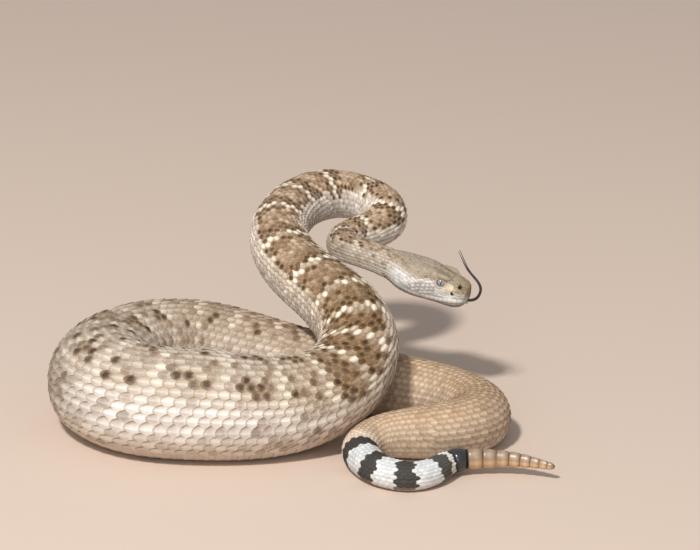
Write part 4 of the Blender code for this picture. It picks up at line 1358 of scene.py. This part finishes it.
def add_lip_plates(name, tall, way, slot):
    """The row of plates along one lip, on both sides. way is -1 for the upper lip and 1 for the lower."""
    shape = scale_shape("lip_plate", PLATE, 5, 0.24, 0.5)
    edges = LIP_BACK + (LIP_FRONT - LIP_BACK) * np.linspace(0, 1, LIP_PLATES_EACH + 1)**1.05
    sides = np.repeat([1.0, -1.0], LIP_PLATES_EACH)
    x, length = np.tile((edges[1:] + edges[:-1]) / 2, 2), np.tile(np.diff(edges) * 0.97, 2)
    lips, ones = mouth_angle(x), np.ones(len(x))
    middle = way * (LIP_GAP + lip_height(x, tall) / 2)

    def on_lip(u, v, col):
        at = col["s"] - (u - 0.5) * col["length"]
        here = at - SNAKE.nape
        lips = mouth_angle(here)
        share = (1.0 + v * way) / 2
        stretch = SNAKE.stretch(at, lips)
        return at, col["side"] * (lips + way * (LIP_GAP / 2 + share * lip_height(here, tall)) / stretch)

    scales = {"s": SNAKE.nape + x, "angle": sides * (lips + middle / SNAKE.stretch(SNAKE.nape + x, lips)),
              "length": length, "root": -0.10 * ones, "tip": -0.10 * ones, "rise": 0.40 * ones,
              "side": sides, "wall": 0.75 * ones, "seed": LIP_LUCK + np.arange(len(x)) + 1000 * way}
    lay_coat(name, shape, scales, LIP_PLATES, slot, on_lip)


# A face plate longer than this is a brow, whose lower edge flares.
BROW_LENGTH = 8.0


def add_face_plates():
    """The larger plates: over the eyes, round the nostrils and pits, before the eyes, on the snout's top."""
    shape = scale_shape("face_plate", PLATE, 6, 0.40, 0.50)
    at, turn, length, width = SUPRAOCULAR
    before, behind = (math.degrees(head_angle(*place)) for place in ((44.5, 4.7, 5.2), (40.0, 6.4, 5.4)))
    # For each plate: its distance, angle, length, width, turn, height, doming, share of tint and tint.
    # They are the brow, whose darker tint is partly brown and partly painted shadow under its ridge, the
    # plates before and behind the nostril, two on the snout's top, and the pale one before the eye.
    plates = [
        (at, turn, length, width, -0.12, -0.20, 1.40, 0.80, (0.37, 0.295, 0.20)),
        (44.6, before, 1.7, 2.7, 0.1, -0.10, 0.45, 0.7, (0.30, 0.24, 0.16)),
        (40.0, behind, 1.5, 2.7, -0.1, -0.10, 0.45, 0.7, (0.38, 0.32, 0.22)),
        (45.0, 22.0, 2.0, 1.9, 0.3, -0.08, 0.5, 0.6, (0.36, 0.29, 0.20)),
        (43.2, 30.0, 2.0, 1.8, 0.1, -0.08, 0.5, 0.5, (0.38, 0.31, 0.21)),
        (37.3, 64.0, 4.6, 4.2, 0.0, -0.10, 0.45, 0.75, (0.74, 0.63, 0.46)),
    ]
    rows = []
    for x, degrees, long, wide, yaw, high, rise, share, tint in plates:
        for sign in (1.0, -1.0):
            rows.append((SNAKE.nape + x, sign * math.radians(degrees), long, wide, sign * yaw, high, rise,
                         share, *tint))
    table = np.array(rows + eye_ring())
    labels = ("s", "angle", "length", "width", "turn", "root", "rise")
    scales = {label: table[:, k] for k, label in enumerate(labels)}
    scales.update(tip=scales["root"], tint=table[:, len(labels):], wall=np.full(len(table), 0.6),
                  flare=np.where(scales["length"] > BROW_LENGTH, BROW_FLARE, 0.0),
                  seed=PLATE_LUCK + np.arange(len(table)))
    lay_coat("face_plates", shape, scales, HEAD_SCALES, "head_scales")


# The ring of small scales round the eye: its radius, how many there are, and from how far above the
# eye's middle they are darker, with brown and painted shadow from the brow.
EYE_RING, EYE_RING_SCALES, RING_DARK_FROM = 2.75, 18, 1.2
RING_BROWN_AND_SHADOW, RING_PALE = (0.34, 0.24, 0.145), (0.46, 0.385, 0.295)


def eye_ring():
    """The small scales round each eye, as rows for the face plates."""
    rows = []
    x, y, z = EYE_AT
    middle = head_angle(x, y, z)
    stretch = float(SNAKE.stretch(np.array([SNAKE.nape + x]), middle)[0])
    for k in range(EYE_RING_SCALES):
        turn = 2 * math.pi * k / EYE_RING_SCALES
        fore, down = EYE_RING * math.cos(turn), -EYE_RING * math.sin(turn)
        # The ring's upper scales are darker, with brown and painted shadow from the brow.
        tint = RING_BROWN_AND_SHADOW if down < -RING_DARK_FROM else RING_PALE
        for sign in (1.0, -1.0):
            rows.append((SNAKE.nape + x + fore, sign * (middle + down / stretch), 1.2, 1.05,
                         sign * -math.atan2(down, fore), 0.04, 0.4, 0.7, *tint))
    return rows


def add_snout_plates():
    """The upright plate at the front of the snout, and the small one under the lip."""
    for name, high, tall, wide, lean, colour in (
            ("snout_plate", 0.55, 3.7, 3.6, -0.22, (0.34, 0.28, 0.20)),
            ("chin_plate", -3.0, 1.5, 3.0, 0.55, (0.60, 0.55, 0.48))):
        shape = scale_shape(name, PLATE, 8, 0.5, 1.1)
        points = shape_points(shape)
        up = (0.5 - points[:, 0]) * tall
        across = points[:, 1] * wide / 2
        ahead = HEAD_LENGTH - 0.1 + 0.55 * points[:, 2] - 0.10 * across**2 + lean * np.abs(up)
        set_points(shape, np.array([head_place(*p) for p in zip(ahead, across, high + up)]))
        close_up(shape)
        rim = rim_share(points)
        # Darker towards the rim, partly painted shade at the plate's edge.
        set_colours(shape, np.array(colour) * (1 - 0.25 * rim[:, None]))
        set_colours(shape, np.tile(np.array(colour), (len(points), 1)), "centre_tone")
        set_values(shape, "within", points)
        set_values(shape, "edge", rim)
        finish_piece(name, shape, LIP_PLATES, "head_scales")


# ---------------------------------------------------------------- the eyes

# The direction in which the left eye looks, in the head's own frame.
GAZE = (0.16, 0.94, 0.28)


def add_eyes():
    """The eyeballs, each turned so that its slit stands upright in the head."""
    finish = eye_finish()
    axes = head_axes()
    for side, (sign, centre) in zip(("left", "right"), left_and_right(EYE_AT)):
        out = face_direction(GAZE[0], sign * GAZE[1], GAZE[2])
        fore = unit(axes[0] - out * float(axes[0] @ out))
        up = np.cross(fore, out) * (-sign)
        bm = bmesh.new()
        bmesh.ops.create_uvsphere(bm, u_segments=64, v_segments=32, radius=1.0)
        mesh = bpy.data.meshes.new(f"eyeball_{side}")
        bm.to_mesh(mesh)
        bm.free()
        ball = shape_points(mesh)
        set_points(mesh, centre + (ball @ np.array([fore, up, out])) * EYE_RADIUS * MM)
        set_values(mesh, "gaze", ball)
        close_up(mesh)
        finish_piece(mesh.name, mesh, finish, "eye", f"eye_{side}")


# ---------------------------------------------------------------- the tongue

# The tongue's lines in the head's own frame, ahead and up, and how thick they are and how they part.
TONGUE_STEM = [
    (46.9, -1.9), (47.7, -1.7), (49.6, -0.7), (51.4, 1.2), (52.2, 4.2), (51.8, 7.2), (49.6, 9.8),
    (46.0, 12.0),
]
TINE_RISE = [(47.2, 11.4), (46.0, 12.0), (42.0, 14.5), (38.2, 18.3), (34.4, 22.4)]
TONGUE_HALF, TINE_HALF, TINE_TIP, TINE_SPREAD = 0.85, 0.42, 0.13, 0.75


def tongue_part(name, line, spread, start_half, end_half):
    """A tapering tube through points of the head, as a mesh. spread is the side that it leans to."""
    points = spline_points([(x, 0.0, z) for x, z in line], 10 * len(line))[1]
    share = np.linspace(0, 1, len(points))
    curve = bpy.data.curves.new(name, "CURVE")
    curve.dimensions = "3D"
    curve.bevel_depth = MM
    curve.bevel_resolution = 4
    curve.use_fill_caps = True
    spline = curve.splines.new("POLY")
    spline.points.add(len(points) - 1)
    for place, (x, y, z), part in zip(spline.points, points, share):
        place.co = (*head_place(x, y + spread * (TINE_HALF + TINE_SPREAD * part), z), 1.0)
        place.radius = start_half + (end_half - start_half) * part**1.3
    return finished_mesh(linked(name, curve))


def add_tongue():
    """The forked tongue: a stem, and two tines that part a little."""
    bm = bmesh.new()
    for part in (tongue_part("stem", TONGUE_STEM, 0.0, TONGUE_HALF, TONGUE_HALF * 0.8),
                 tongue_part("tine_a", TINE_RISE, 1.0, TINE_HALF, TINE_TIP),
                 tongue_part("tine_b", TINE_RISE, -1.0, TINE_HALF, TINE_TIP)):
        bm.from_mesh(part)
    mesh = bpy.data.meshes.new("forked_tongue")
    bm.to_mesh(mesh)
    bm.free()
    close_up(mesh, join=1e-6)
    finish_piece("forked_tongue", mesh, tongue_finish(), "tongue",
                 "tongue", "tongue_tine_left", "tongue_tine_right")


# ---------------------------------------------------------------- the rattle

RATTLE_LOBES, LOBE_AROUND = 8, 40
# How long the lobes are at the tip and at the tail, before they are fitted to the rattle's length.
FIRST_LOBE, LAST_LOBE = 3.9, 7.6
# The lobes' height and width over the tail's thickness, the depth of their side groove, and its reach.
LOBE_TALL, LOBE_WIDE, LOBE_GROOVE, GROOVE_REACH = 1.06, 0.86, 0.13, 0.24
# How much of its length a lobe leaves free at each end, and from which bend on an edge is sharp.
LOBE_ROOM, LOBE_BEND = 0.05, 70
# The horn's colours above, below and on the crest of each bulge, and of the black base.
HORN_TONES = ((0.29, 0.195, 0.12), (0.49, 0.29, 0.135), (0.12, 0.10, 0.08))
BLACK_TONES = ((0.020, 0.020, 0.022), (0.020, 0.020, 0.022), (0.01, 0.01, 0.01))
# The rows of a lobe, from its tip's side: how far along, and how thick.
LOBE_ROWS = np.array([
    (0.0, 0.0), (0.0, 0.82), (0.02, 0.87), (0.07, 0.91), (0.16, 0.955), (0.28, 0.985), (0.40, 1.0),
    (0.54, 0.995), (0.66, 0.975), (0.75, 0.965), (0.83, 0.965), (0.90, 0.945), (0.95, 0.915), (0.99, 0.87),
    (1.0, 0.82), (1.0, 0.0),
])
# The button at the tip is a blunt cone.
BUTTON_ROWS = np.array([
    (0.0, 0.0), (0.0, 0.22), (0.04, 0.42), (0.12, 0.60), (0.24, 0.76), (0.38, 0.87), (0.52, 0.94),
    (0.66, 0.98), (0.76, 0.97), (0.83, 0.97), (0.90, 0.95), (0.95, 0.92), (0.99, 0.87), (1.0, 0.82),
    (1.0, 0.30), (1.0, 0.0),
])
# The black base: a smooth lobe that dips under the scales of the tail.
BASE_ROWS = np.array([
    (0.0, 0.0), (0.0, 0.76), (0.01, 0.84), (0.05, 0.94), (0.12, 1.03), (0.22, 1.10), (0.34, 1.13),
    (0.46, 1.12), (0.56, 1.08), (0.68, 1.01), (0.80, 0.945), (0.92, 0.90), (1.0, 0.85), (1.0, 0.0),
])


def add_lobe(name, start, end, rows, tall, wide, groove, tones, finish, slot, *nodes):
    """A bulging ring of horn from one length along the tail to another, closed at both ends.
    tones are its colours above, below and on the crest of the bulge."""
    mesh = grid_mesh(name, len(rows) - 1, LOBE_AROUND)
    flat = shape_points(mesh)
    row = np.rint((flat[:, 0] + 1) / 2 * (len(rows) - 1)).astype(int)
    angle = flat[:, 1] * np.pi
    share, size = rows[row, 0], rows[row, 1]
    s = start + (end - start) * share
    side_groove = 1 - groove * np.exp(-((np.abs(angle) - np.pi / 2) / GROOVE_REACH)**2)
    half = SNAKE.half(s) * size * side_groove
    frames = SNAKE.directions(s)
    points = (SNAKE.middle(s) + frames[:, 3:6] * (half * wide * np.sin(angle))[:, None]
              + frames[:, 6:9] * (half * tall * np.cos(angle))[:, None])
    points[:, :2] -= STAND_CENTRE
    set_points(mesh, points * MM)
    above, below, crest = (np.array(tone) for tone in tones)
    # Darker towards the lobe's narrow ends, with a darker rim there: painted shade in the seams between
    # lobes.
    bulge = np.clip((size - 0.86) / 0.14, 0, 1)[:, None]
    colour = above + (below - above) * smooth_step(np.abs(angle), 0.9, 2.1)[:, None]
    set_colours(mesh, colour * (0.70 + 0.30 * bulge) + crest * bulge**3)
    set_values(mesh, "edge", np.clip(1 - (size - 0.6) / 0.35, 0, 1))
    set_unwrap(mesh, ((flat[:, :2] + 1) / 2)[face_corners(mesh)])
    close_up(mesh, join=1e-7)
    mesh.set_sharp_from_angle(angle=math.radians(LOBE_BEND))
    finish_piece(name, mesh, finish, slot, *nodes)


def add_rattle():
    """The lobes of the rattle: bulging rings of horn with a waist, and a groove along each side."""
    finish = horn_finish()
    lengths = np.linspace(FIRST_LOBE, LAST_LOBE, RATTLE_LOBES)
    lengths *= TAIL_START / lengths.sum()
    start = 0.0
    for n, length in enumerate(lengths):
        older = 1.1 - 0.25 * n / RATTLE_LOBES
        add_lobe(f"horn_lobe_{n + 1}", start + LOBE_ROOM, start + length - LOBE_ROOM,
                 BUTTON_ROWS if n == 0 else LOBE_ROWS, LOBE_TALL, LOBE_WIDE, LOBE_GROOVE,
                 np.array(HORN_TONES) * older, finish, "rattle_horn", f"rattle_lobe_{n + 1}")
        start += length


def add_tail_base():
    """The smooth black base that carries the rattle."""
    add_lobe("black_tail_lobe", TAIL_START + 0.1, BASE_END + 1.2, BASE_ROWS, 0.97, 1.0, 0.0,
             BLACK_TONES, BLACK_BASE, "black_base")


# ---------------------------------------------------------------- the stage

def add_floor():
    """The pale ground of the studio."""
    mesh = grid_mesh("floor", 1, 1, 12.0)
    paint, _, shader = new_finish("pale_floor")
    set_inputs(shader, {"Base Color": (0.66, 0.53, 0.44, 1.0), "Roughness": 0.9})
    mesh.materials.append(paint)
    floor = linked("floor", mesh)


def add_lamp(name, toward, distance, size, power, colour):
    """A round soft lamp in a direction from the model, turned to it."""
    lamp = bpy.data.lights.new(name, "AREA")
    lamp.shape = "DISK"
    lamp.size = size
    lamp.energy = power
    lamp.color = colour
    stand = linked(name, lamp)
    direction = Vector(toward).normalized()
    stand.location = Vector((0.0, 0.0, 0.04)) + direction * distance
    stand.rotation_euler = direction.to_track_quat("Z", "Y").to_euler()


def add_stage():
    """The floor, the lamps, the sky's light and the camera."""
    add_floor()
    scene = bpy.context.scene
    add_lamp("key_lamp", (-0.32, -0.72, 1.0), 2.8, 0.32, 71.0, (1.0, 0.98, 0.945))
    add_lamp("fill_lamp", (-0.15, -1.0, 0.32), 3.0, 1.8, 18.0, (0.97, 0.985, 1.0))
    world = bpy.data.worlds.new("studio")
    world.use_nodes = True
    set_inputs(world.node_tree.nodes["Background"], {"Color": (0.95, 0.97, 1.0, 1.0), "Strength": 0.37})
    scene.world = world
    scene.view_settings.view_transform = "Standard"
    lens = bpy.data.cameras.new("camera")
    lens.lens = 214.97
    lens.sensor_width = 36.0
    camera = linked("camera", lens)
    camera.location = (0.026796, -2.080474, 0.753938)
    camera.rotation_euler = (math.radians(72.0), 0.0, 0.0)
    scene.camera = camera


add_skin()
add_back_scales()
add_scutes()
add_tail_base()
add_small_head_scales()
add_lip_plates("upper_lip_plates", UPPER_LIP, -1, "head_scales")
add_lip_plates("lower_lip_plates", LOWER_LIP, 1, "jaw_scales")
add_face_plates()
add_snout_plates()
add_eyes()
add_tongue()
add_rattle()
add_stage()
